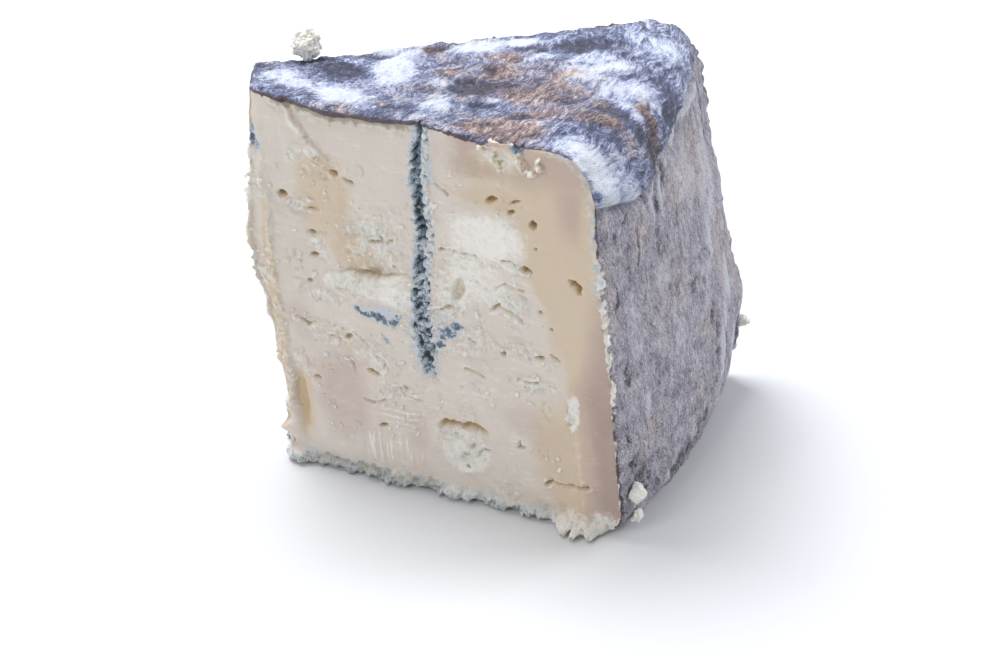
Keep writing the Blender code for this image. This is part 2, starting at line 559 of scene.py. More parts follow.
        # Pockets of the channel darkened: painted shade.
        maps.most(hollow=np.clip(pockets, 0, 1))
        cloud = rise_between(-0.3, 0.5, self.noise.fractal(points + 61, 3.4, 4, 0.6))
        halo = np.exp(-(np.clip(np.abs(off) - half, 0, None) / 1.9)) * ends
        powder = np.clip(halo * (0.25 + 0.75 * cloud), 0, 1)
        maps.most(blue=powder * 0.8)
        maps.most(blue=np.maximum(0.95 * open_part * slit, closed * (0.62 + 0.38 * gaps)))
        maps.most(blue=lips * (0.30 + 0.45 * gaps), crumbly=np.maximum(0.9 * lips, 0.8 * closed))

    def features(self, maps: Maps, points: Array, run: Array, rise: Array) -> None:
        """Blue spots, which every cut face has."""
        ragged = 1.5 * self.noise.fractal(points + 19, 2.1, 4, 0.7)
        grain = domes(self.noise.cells(points[:, ::2], 1.25)[0], 0.62)
        for spot in self.blues:
            near = spot.nearness(run, rise) + ragged
            inside = spot.strength * fall_between(0.1, 1.3, near)
            maps.most(blue=inside)
            maps.height += 0.45 * inside * (grain - 0.9)
            # Gaps between mould grains darkened: painted shade.
            maps.most(hollow=0.55 * inside * (1 - grain))

    def edges(self, maps: Maps, points: Array, run: Array, rise: Array) -> None:
        """Lumps of pressed crumb that stand out along the foot of the cut."""
        flat = np.stack([run, rise * 1.3], 1)
        near, number = self.noise.cells(flat + 55, 4)
        small, small_number = self.noise.cells(flat + 15, 1.7)
        foot = fall_between(1.5, 6, rise + 1.5 * self.noise.smooth(points, 7))
        swell = 1.0 + self.noise.smooth(points + 70, 12)
        maps.height += foot * (1.45 * swell * domes(near, 0.74) * (0.3 + number) - 0.5)
        maps.height += 0.55 * foot * domes(small, 0.62) * small_number


@dataclass
class FrontFace(CutFace):
    """The cut towards the front, with its flake, its ledges, its smears and its torn edge."""

    flake: Crack = Crack(
        ((9.0, 134.0), (13.0, 127.0), (16.8, 122.0), (21.2, 118.6), (23.2, 114.0), (24.6, 107.5))
    )
    flake_height: float = 1.5
    smear: Crack = Crack(((99, 52), (101.6, 38), (102.6, 26), (104, 11)))
    cream_spots: Spots = (
        Spot(21, 102, 13, 20, 0.95), Spot(30, 84, 10, 9, 0.9), Spot(97, 26, 12, 28, 0.8),
        Spot(82, 113.5, 24, 6, 0.9), Spot(100, 88, 8.5, 40, 1), Spot(22, 48, 8, 8, 0.5),
        Spot(7, 22, 4, 20, 0.8), Spot(62, 82, 7, 7, 0.4),
    )
    rosy_spots: Spots = (
        Spot(21.5, 30, 16, 25, 0.62), Spot(95, 26, 12, 20, 0.35), Spot(10, 55, 7, 16, 0.40),
        Spot(12, 88, 7, 22, 0.35), Spot(48, 22, 7, 9, 0.35), Spot(86, 36, 14, 9, 0.40),
        Spot(64, 128, 8, 9, 0.35),
    )
    white_spots: Spots = (
        Spot(76, 99, 18, 12, 1), Spot(72, 84, 16, 12, 0.7), Spot(42, 72, 14, 6, 0.8),
        Spot(64, 18, 10, 10, 0.6), Spot(102, 43, 2.6, 9, 0.9),
    )

    def tones(self, maps: Maps, points: Array, run: Array, rise: Array, depth: Array) -> None:
        """The ripe band along the rind, the neutral top, and patches of their own."""
        wobble = 3.0 * self.noise.fractal(points + 60, 16, 3)
        far = rise_between(56, 72, run + 2 * wobble)
        # Cream and rosy rise towards the bottom, so darker towards the bottom: partly the paste's own tone,
        # partly painted shade.
        low = fall_between(6, 18, rise + wobble)
        border = followed(
            rise, (30, 94), (45, 99), (60, 99), (85, 90.5), (97, 88), (108, 84.5)
        )
        cream = np.maximum(
            rise_between(-4, 4, run + wobble - border),
            0.6 * far * rise_between(106, 114, rise + wobble),
        )
        fold = followed(
            rise, (11, 104), (26, 102.6), (38, 101.4), (52, 99.5), (66, 102), (88, 105.5)
        )
        beyond = 0.35 * rise_between(-0.5, 1, run - fold) * fall_between(50, 60, rise)
        beyond = beyond + (1 - beyond) * rise_between(-1.5, 9, run - fold + 0.5 * wobble)
        rosy = np.maximum(
            (0.95 - 0.30 * rise_between(40, 90, rise)) * beyond,
            0.65 * far * rise_between(114, 125, rise + wobble),
        )
        shoulder = rise_between(2, 6, depth + 0.4 * wobble) * fall_between(6, 17, depth + wobble)
        shoulder = shoulder * rise_between(64, 84, run) * rise_between(92, 112, rise)
        rosy = np.maximum(rosy, 0.66 * shoulder)
        maps.cream = np.maximum.reduce([cream, gathered(self.cream_spots, run + wobble, rise), 0.35 * low])
        maps.rosy = np.maximum.reduce([rosy, gathered(self.rosy_spots, run + wobble, rise), 0.25 * low])
        maps.white = gathered(self.white_spots, run, rise)
        self.rims(maps, points, run, rise, depth)

    def rims(self, maps: Maps, points: Array, run: Array, rise: Array, depth: Array) -> None:
        """The paste's margins: cracked under the top, mouldy at the shoulder, torn down the side."""
        ragged = self.noise.fractal(points + 52, 2.6, 3)
        under_top = fall_between(50, 58, run) * rise_between(3, 8, run)
        band = under_top * fall_between(2.6, 5.2, depth + 1.8 * ragged)
        maps.olive = np.maximum(band, 0.30 * fall_between(0.6, 2, depth))
        splits = rise_between(0.90, 0.97, self.noise.ridged(points + 9, (7, 7, 2.2), 2))
        splits = splits * under_top * fall_between(4, 7, depth) * rise_between(1.6, 2.6, depth)
        # Splits under the top darkened: painted shade.
        maps.most(hollow=0.9 * splits)
        crust = fall_between(1.6, 2.4, depth + 0.8 * ragged)
        maps.height += under_top * (0.75 * crust - 0.3) * fall_between(4, 7, depth) - 0.6 * splits
        shoulder = rise_between(92, 98, run) * rise_between(76, 90, rise)
        shoulder = shoulder * fall_between(1.5, 4.8, depth + 1.6 * ragged)
        maps.most(white=0.5 * shoulder, blue=shoulder * (0.20 + 1.3 * np.clip(ragged, 0, 1)))
        torn = rise_between(90, 98, run) * fall_between(84, 104, rise + 8 * ragged)
        torn = torn * fall_between(0.2, 1.5, depth + 1.3 * ragged)
        near, number = self.noise.cells(np.stack([run, rise], 1) + 37 + 0.4 * ragged[:, None], 1.5)
        maps.height += torn * (1.5 * domes(near, 0.7) * (0.2 + number) - 0.2)
        maps.most(crumbly=0.9 * torn, white=torn)

    def features(self, maps: Maps, points: Array, run: Array, rise: Array) -> None:
        """The reliefs that only this face has."""
        super().features(maps, points, run, rise)
        self.lift_flake(maps, points, run, rise)
        self.scoop(maps, points, run, rise)
        self.undercut(maps, points, run, rise)
        self.smears(maps, points, run, rise)
        self.notch(maps, points, run, rise)

    def lift_flake(self, maps: Maps, points: Array, run: Array, rise: Array) -> None:
        """A flake that broke off beside the upper corner and left a slanting step, with a painted shadow
        below it and a painted highlight on its edge.
        """
        wobble = 1.5 * self.noise.fractal(points + 8, 4.4, 4, 0.6)
        away = -self.flake.side(run + wobble, rise + wobble)
        window = rise_between(112.5, 115.5, rise)
        raised = rise_between(-0.5, 0.3, away) * np.exp(-np.clip(away, 0, None) / 9.0)
        maps.height += self.flake_height * raised * window
        # Painted shadow at the step's foot and a painted highlight along its lit edge.
        painted_step_shadow = bell(away, -0.6, 0.5) * window
        maps.most(hollow=0.45 * painted_step_shadow, white=0.9 * bell(away, 0.9, 0.8) * window)
        plate = Spot(18.6, 118.2, 2.8, 3.4, 1, -35).soft(run, rise)
        maps.height += 0.9 * plate
        maps.most(white=0.8 * plate)
        level = np.stack([run, rise, run * 0], 1)
        streaks = self.noise.fractal(level + 6, (2.2, 20, 9), 3, 0.6)
        upper_left = Spot(8, 122, 11, 16).soft(run, rise)
        maps.height += 0.45 * upper_left * streaks

    def scoop(self, maps: Maps, points: Array, run: Array, rise: Array) -> None:
        """The hollow above the broken ledge in the middle of the left half."""
        wobble = 1.5 * self.noise.fractal(points + 12, 3.6, 4, 0.6)
        ledge = followed(
            run, (18, 74), (26, 76.4), (30, 77.6), (33, 76), (38, 76.8), (43, 78.6), (50, 81.5)
        )
        above = rise - ledge + 0.6 * wobble
        reach_line = (22, 0.3), (26, 0.8), (31, 2.2), (35, 4.6), (39, 3.4), (43, 1.5), (47, 0.7), (50, 0.3)
        reach = followed(run + 0.5 * wobble, *reach_line)
        window = rise_between(23, 28, run + wobble) * fall_between(46, 50, run + wobble)
        reach = reach * (1 + 0.9 * self.noise.fractal(points + 92, 3, 3, 0.6))
        fading = np.exp(-np.clip(above, 0, None) / np.clip(reach, 0.3, None))
        bowl = rise_between(-0.3, 0.4, above) * fading * window
        maps.height -= (1.6 + 0.7 * np.minimum(reach, 4.0)) * bowl
        # The scoop's bowl darkened: painted shade.
        maps.most(hollow=0.75 * bowl * window)
        shelf_window = rise_between(16, 22, run) * fall_between(46, 51, run)
        shelf = bell(above, -1.6, 1.9) * shelf_window
        near, number = self.noise.cells(np.stack([run, rise], 1) + 90 + wobble[:, None] * 0.3, 2.3)
        maps.height += shelf * (0.7 + 1.5 * domes(near, 0.68) * (0.25 + number))
        maps.most(crumbly=0.9 * shelf, white=0.8 * shelf)
        dish = Spot(36, 89, 16, 10, 1, 20).soft(run + wobble, rise)
        maps.height -= 1.0 * dish

    def undercut(self, maps: Maps, points: Array, run: Array, rise: Array) -> None:
        """Two broken places: a cave low in the middle, and a tall dent beside the channel."""
        wobble = 1.2 * self.noise.fractal(points + 33, 3.2, 4, 0.6)
        roof = followed(run, (55, 27.6), (58, 29.8), (62, 29.4), (67, 30.8), (72, 28.6)) + 0.7 * wobble
        below = roof - rise
        window = rise_between(54, 57, run) * fall_between(70, 73, run)
        cave = rise_between(-0.2, 0.4, below) * fall_between(1.4, 3.6, below + wobble) * window
        maps.height -= 2.6 * cave
        # The cave under its roof darkened: painted shade.
        maps.most(hollow=0.95 * cave)
        crumbs = Spot(64, 18, 9, 9).soft(run + wobble, rise)
        near, number = self.noise.cells(np.stack([run, rise], 1) + 47 + wobble[:, None] * 0.4, 4.4)
        maps.height += crumbs * (1.9 * domes(near, 0.66) * (0.2 + number) - 1.3)
        dent = Spot(65.4, 78.6, 2.2, 5.6, 1, -14)
        inside = fall_between(0.5, 1.1, dent.nearness(run, rise) + 0.25 * wobble)
        maps.height -= 2.0 * inside
        # The dent darkened: painted shade.
        maps.most(hollow=0.5 * inside)
        plates = Spot(82, 78, 10, 6).soft(run + wobble, rise)
        maps.height += plates * (terraced(3.0 * wobble, 1.1, 0.2) * 0.5 + 0.3)

    def smears(self, maps: Maps, points: Array, run: Array, rise: Array) -> None:
        """Marks of the blade: a long fold near the rind, scratches and wiped ripples low down."""
        off = self.smear.side(run, rise)
        window = fall_between(48, 54, rise)
        fold = rise_between(-0.35, 0.5, off) * np.exp(-np.clip(off, 0, None) / 6.0)
        maps.height += 0.9 * fold * window
        # A pale line beside the fold: painted highlight on its lit side.
        maps.most(white=0.45 * bell(off, 1.1, 1.5) * window)
        flat = np.stack([run, rise, run * 0], 1)
        low = Spot(37, 14, 19, 9).soft(run, rise)
        scratches = self.noise.fractal(flat + 4, (1.1, 16, 5), 2)
        maps.height += 0.5 * low * scratches
        maps.most(white=low * rise_between(0.1, 0.4, scratches))
        wiped = Spot(42, 26.5, 9, 5.5).soft(run, rise)
        ripples = np.sin(rise * 2.9 + 1.2 * self.noise.smooth(flat, 6))
        maps.height += 0.36 * wiped * ripples
        maps.most(white=0.9 * wiped * rise_between(0.2, 0.9, ripples))

    def notch(self, maps: Maps, points: Array, run: Array, rise: Array) -> None:
        """The torn place under the top edge, with lumps of cream paste hanging at its two ends."""
        bite = Spot(80.5, 127.5, 10, 5).soft(run, rise)
        maps.height -= 1.9 * bite
        maps.rosy *= 1 - 0.9 * np.clip(1.4 * bite, 0, 1)
        maps.most(white=0.75 * bite)
        wobble = self.noise.fractal(points + 71, 2.6, 3)
        near, number = self.noise.cells(np.stack([run, rise], 1) + 21 + 0.5 * wobble[:, None], 1.7)
        lumps = (
            Spot(76.6, 132, 2.6, 2.2), Spot(79, 129.2, 2, 2.2, 1, 15), Spot(80.6, 126, 2.2, 2),
            Spot(87, 131, 1.8, 2.8, 1, 10), Spot(88.4, 127.6, 2.2, 2.4), Spot(91.2, 126, 2.8, 2.1),
            Spot(94, 128.4, 2, 2.6),
        )
        for lump in lumps:
            inside = fall_between(0.3, 1.25, lump.nearness(run, rise) + 0.9 * wobble)
            maps.height += inside * (0.5 + 2.2 * domes(near, 0.72) * (0.1 + number))
            maps.most(crumbly=inside, cream=0.6 * inside)
            # Gaps between the hanging lumps darkened: painted shade.
            maps.most(hollow=0.8 * inside * fall_between(0.1, 0.5, domes(near, 0.72) * number))

    def edges(self, maps: Maps, points: Array, run: Array, rise: Array) -> None:
        """The torn edge at the tip, the rounded corner, and clots of crumb along the foot."""
        super().edges(maps, points, run, rise)
        ragged = self.noise.fractal(points + 14, 4.4, 4, 0.6)
        edge = np.clip(1 - (run + 1.4 * ragged) / 3.0, 0, None)
        maps.height -= 0.6 * np.minimum(edge, 2.0) ** 2
        strip = Spot(5.2, 24, 3, 17, 1, 3).soft(run + ragged, rise)
        maps.height -= 2.0 * strip
        # The sunken strip darkened: painted shade.
        maps.most(hollow=0.62 * strip)
        roll = Spot(1.2, 60, 2.6, 56).soft(run + ragged, rise)
        maps.height += 0.9 * roll
        maps.most(cream=roll)
        flat = np.stack([run, rise], 1)
        near, number = self.noise.cells(flat + 66 + 0.5 * ragged[:, None], 3)
        clots = (
            Spot(102.5, 0.5, 10, 5.6, 1.35), Spot(3.6, 2, 5.5, 3.8), Spot(38, 0, 7, 2.6, 0.7),
            Spot(88, 1, 6, 3.4, 0.7), Spot(60, 1, 8, 3, 0.5),
        )
        for clot in clots:
            inside = clot.soft(run, rise)
            maps.height += inside * (1.7 + 1.5 * domes(near, 0.74) * (0.25 + number))
            maps.most(crumbly=np.minimum(inside, 1))
        corner = Spot(112, 6, 5, 6).soft(run, rise)
        maps.most(white=0.6 * corner)


def front_face() -> FrontFace:
    """The front cut with everything that shows on it."""
    return FrontFace(
        face=Face.FRONT,
        seed=12,
        crumbly=(
            Spot(37, 89, 14, 9, 0.85, 22), Spot(44, 98, 6, 8, 0.5), Spot(31, 72.5, 15, 4.5, 0.9, 6),
            Spot(12.8, 116.2, 2.6, 5.2, 1, -15), Spot(16, 110, 3, 2, 0.7), Spot(25, 112, 2.2, 2.6, 0.6),
            Spot(34, 114.5, 1.6, 3, 0.45), Spot(62, 74.5, 8, 9, 0.85, -12),
            Spot(82, 78, 9.5, 5.5, 0.8, 5), Spot(67, 91.5, 7.5, 2.2, 0.8),
            Spot(84.5, 90.5, 5, 2.5, 0.6, -20), Spot(64, 18.5, 10, 9.5, 1), Spot(70, 60, 10, 9, 0.55),
            Spot(84, 62, 10, 5, 0.45), Spot(52.5, 58, 6.5, 13, 0.6), Spot(101.3, 43, 2.2, 8, 1, -8),
            Spot(93.2, 41, 1.8, 4, 0.6), Spot(90, 50.5, 9, 2.4, 0.5), Spot(1.5, 60, 2.4, 62, 0.6),
            Spot(12, 97, 6, 3, 0.75, 5), Spot(18, 84, 4, 6, 0.75), Spot(9, 80, 3, 2, 0.6),
            Spot(26, 96, 2.6, 3, 0.5), Spot(18, 66, 10, 4, 0.5), Spot(20, 52, 10, 6, 0.45),
            Spot(34, 46, 9, 7, 0.5, -30), Spot(44, 36, 6, 4, 0.5, -20), Spot(8, 40, 6, 5, 0.5),
            Spot(100, 4, 14, 5, 0.9), Spot(78, 8, 8, 5, 0.5),
        ),
        sliced=(
            Spot(40, 117, 17, 14, 0.95), Spot(24, 30, 10, 16, 0.9), Spot(76, 101, 16, 10, 0.85),
            Spot(100, 90, 14, 45, 0.95), Spot(84, 34, 13, 13, 0.85), Spot(26, 97, 8, 12, 0.6),
        ),
        holes=(
            Spot(77.6, 113.2, 2, 1.3, 1.8, 40), Spot(79.2, 114.2, 1.3, 0.7, 1, -10),
            Spot(85.5, 113.8, 2.2, 0.6, 1, 25), Spot(84.2, 109.9, 1.4, 0.9, 1.4, 40),
            Spot(91.2, 107, 1.4, 2.1, 2.4, 5), Spot(89, 91.1, 1.9, 1.2, 2.6, -20),
            Spot(104, 89.6, 2.4, 1.3, 2.2, -38), Spot(104.9, 88, 1, 1.9, 2.2, 10),
            Spot(92, 99, 0.6, 0.6, 0.8), Spot(92.9, 77.5, 0.8, 0.7, 0.9), Spot(79.3, 59, 1.2, 0.9, 2.2),
            Spot(91.5, 60.4, 1.9, 0.8, 1.6, -8), Spot(96.2, 61.4, 2.3, 0.6, 1.2, -35),
            Spot(68.6, 60.8, 1.5, 0.8, 1.5, -30), Spot(6.9, 100.2, 2, 1.3, 2.2, 6),
            Spot(16.3, 88.8, 1.5, 0.9, 1.3), Spot(15.8, 80.2, 1.4, 0.9, 1.3),
            Spot(25.3, 111.2, 1.6, 1, 1.8, -20), Spot(30.4, 109.4, 2.6, 0.8, 1.8, -22),
            Spot(13.5, 70.5, 1.2, 0.8, 1.2), Spot(12.2, 34.2, 1.3, 0.9, 1.3),
            Spot(10.6, 54.6, 2.2, 0.7, 1.5, -30), Spot(35.6, 22.2, 1.8, 0.8, 1.5, 15),
            Spot(71.2, 20.4, 1.4, 0.8, 1.6), Spot(83.6, 25.4, 1.9, 0.6, 2.6, 4),
            Spot(83, 27, 0.6, 1.2, 1.2), Spot(96.2, 72, 0.8, 0.6, 0.9),
            Spot(44, 38, 1.3, 0.8, 1.3, -40), Spot(33, 41, 2.6, 0.7, 1.5, -18),
            Spot(25, 52.2, 1.4, 0.8, 1.2, 10), Spot(64.4, 13, 1.2, 0.8, 1.3),
        ),
        cracks=(
            Crack(((60, 114.6), (62.6, 113.4), (64, 111.6)), 0.4, 1),
            Crack(((67, 121.6), (70, 121.8), (74.6, 121)), 0.3, 0.5),
            Crack(((8, 56.6), (11.6, 54), (13.8, 55)), 0.5, 1.3),
            Crack(((27, 54.6), (30, 52), (33.4, 48.8)), 0.45, 1.3),
            Crack(((33.6, 48.6), (35.6, 46.4), (37.4, 44.2)), 0.4, 1.1),
            Crack(((18.6, 50.6), (22.6, 51), (24.6, 50)), 0.5, 1),
            Crack(((41.8, 37.6), (43.6, 35.4), (47.2, 34.8), (50, 34.6)), 0.4, 1.1),
            Crack(((29.6, 30.4), (32.6, 30.2), (36.8, 31.8)), 0.5, 1.2),
            Crack(((81, 92.6), (85, 92.8), (88.6, 90.4)), 0.4, 1),
            Crack(((66, 50.2), (70.4, 49.8), (72.6, 48.4)), 0.45, 1.1),
            Crack(((83.4, 50.2), (88.6, 51.1), (96, 50.4)), 0.4, 1),
            Crack(((87.6, 47.4), (91.6, 47.4)), 0.35, 0.9),
            Crack(((76.6, 74.6), (79.6, 76.6), (83.6, 75.4), (86.6, 73)), 0.7, 1.8),
            Crack(((78.4, 82.6), (81.6, 84.2), (87.6, 83)), 0.5, 1.2),
            Crack(((60, 91.8), (66, 92.4), (72, 92.2)), 0.5, 1.2),
            Crack(((91.4, 13.4), (94, 15.4), (98, 14.8), (106.6, 16.6)), 0.6, 1.8),
            Crack(((11, 96.8), (14, 96.4), (19, 97.2)), 0.5, 1.2),
            Crack(((44, 82.4), (47, 80.8), (50, 80.2)), 0.5, 1.3),
            Crack(((57, 69), (60.5, 71.6), (65, 72.2)), 0.6, 1.3),
            Crack(((36, 88.2), (40, 88.8), (44, 90.6)), 0.5, 1),
            Crack(((24.4, 45.4), (26, 42.8), (26.4, 39)), 0.4, 0.9),
        ),
        blues=(
            Spot(37, 61.6, 6.6, 2.2, 1.05, -8), Spot(42, 61.8, 3.6, 2.4, 1.05, 30),
            Spot(31, 63, 3.2, 1.3, 1, -35), Spot(39, 63.6, 9, 5.5, 0.45),
            Spot(60.5, 62.6, 6, 3.2, 1.05, 28), Spot(57.6, 57.2, 3.2, 2.2, 1.05, -10),
            Spot(63.4, 65, 3, 2.2, 1), Spot(38.6, 53.6, 1.5, 2.1, 0.7), Spot(52.6, 58, 6.5, 15, 0.60),
            Spot(-1, 117, 2.6, 4.6, 1), Spot(113.5, 107.6, 3, 2, 1.1), Spot(87.6, 133, 2.8, 2.2, 1.5),
            Spot(58.4, 118, 1.8, 9, 0.5), Spot(46, 70, 5, 4, 0.30), Spot(60, 68, 5, 4, 0.35),
        ),
        channel=(
            (43, 53.2), (52, 52.6), (62, 52), (74, 52.6), (84, 53.2), (94, 54.2), (104, 54.6),
            (114, 53.4), (124, 54.4), (134, 56.2),
        ),
        channel_widths=(
            (46, 0.8), (62, 1.5), (78, 1.3), (84, 1.7), (90, 1.3), (95, 1.6), (103, 1.4), (112, 1.5),
            (122, 1.6), (129, 0.8), (134, 0.9),
        ),
        channel_open=(
            (50, 0), (60, 0.3), (72, 0.1), (80, 0.35), (85, 1), (91, 0.45), (96, 0.9), (101, 0.6),
            (108, 1), (113, 0.6), (118, 0.85), (134, 1),
        ),
    )


def back_face() -> CutFace:
    """The back cut: drier and plainer, with a channel of its own."""
    return CutFace(
        face=Face.BACK,
        seed=29,
        crumbly=(
            Spot(50, 70, 22, 26, 0.75, 20), Spot(92, 44, 18, 14, 0.7, -15), Spot(24, 104, 14, 9, 0.6),
            Spot(74, 104, 14, 8, 0.55), Spot(20, 30, 16, 14, 0.6), Spot(1, 60, 3, 64, 0.7),
        ),
        holes=(
            Spot(38, 96, 2.2, 1.3, 1.8, 20), Spot(61, 101, 1.6, 1, 1.4, -15),
            Spot(88, 92, 2.4, 1.6, 2.2, 35), Spot(104, 76, 1.6, 1.2, 1.6),
            Spot(112, 108, 1.8, 1, 1.2, 12), Spot(46, 42, 1.9, 1.2, 1.8, -30),
            Spot(79, 30, 2.3, 1.2, 1.9, 10), Spot(30, 62, 1.4, 1, 1.2), Spot(116, 50, 1.5, 1.5, 1.5),
            Spot(15, 80, 1.6, 0.9, 1.3, -10),
        ),
        cracks=(
            Crack(((52, 84), (60, 86.5), (68, 85)), 0.6, 1.3),
            Crack(((90, 62), (98, 60), (104, 62.5)), 0.5, 1.1),
            Crack(((24, 44), (30, 41), (38, 42)), 0.5, 1),
            Crack(((60, 22), (70, 20.5), (76, 22.5)), 0.6, 1.2),
            Crack(((104, 24), (112, 26)), 0.5, 1),
            Crack(((10, 118), (18, 112), (22, 104)), 0.5, 0.9),
        ),
        blues=(
            Spot(62, 58, 5, 2.2, 0.8, 20), Spot(76, 64, 3, 1.8, 0.8, -25),
            Spot(96, 30, 4, 1.6, 0.7, 10), Spot(34, 26, 3, 1.6, 0.6),
        ),
        channel=(
            (40, 68.9), (60, 68.4), (84, 69.8), (110, 69), (134, 70.5),
        ),
        channel_widths=(
            (42, 0.8), (60, 1.2), (84, 1.5), (110, 1.2), (134, 1.5),
        ),
        channel_open=(
            (70, 0), (88, 0.2), (96, 0.9), (112, 0.7), (130, 0.9),
        ),
    )


def tip_face() -> CutFace:
    """The narrow cut at the tip, torn more than sliced."""
    return CutFace(
        face=Face.TIP,
        seed=41,
        crumbly=(Spot(9, 70, 12, 70, 0.6), Spot(4, 30, 6, 20, 0.8)),
        holes=(
            Spot(8, 96, 2, 1.2, 1.6, 15), Spot(12, 52, 1.5, 1.5, 1.6), Spot(6, 24, 2.2, 4.2, 2),
        ),
        cracks=(Crack(((3, 72), (9, 74), (15, 71)), 0.6, 1.2),),
        blues=(Spot(2, 118, 2.6, 3.2, 0.9), Spot(11, 84, 2, 3, 0.7)),
    )


# --- The rind ---


@dataclass
class RindMaps:
    """The rind's relief and the strengths of its growths, for each vertex."""

    height: Array
    pale: Array
    ochre: Array
    dusk: Array
    cool: Array
    flank: Array


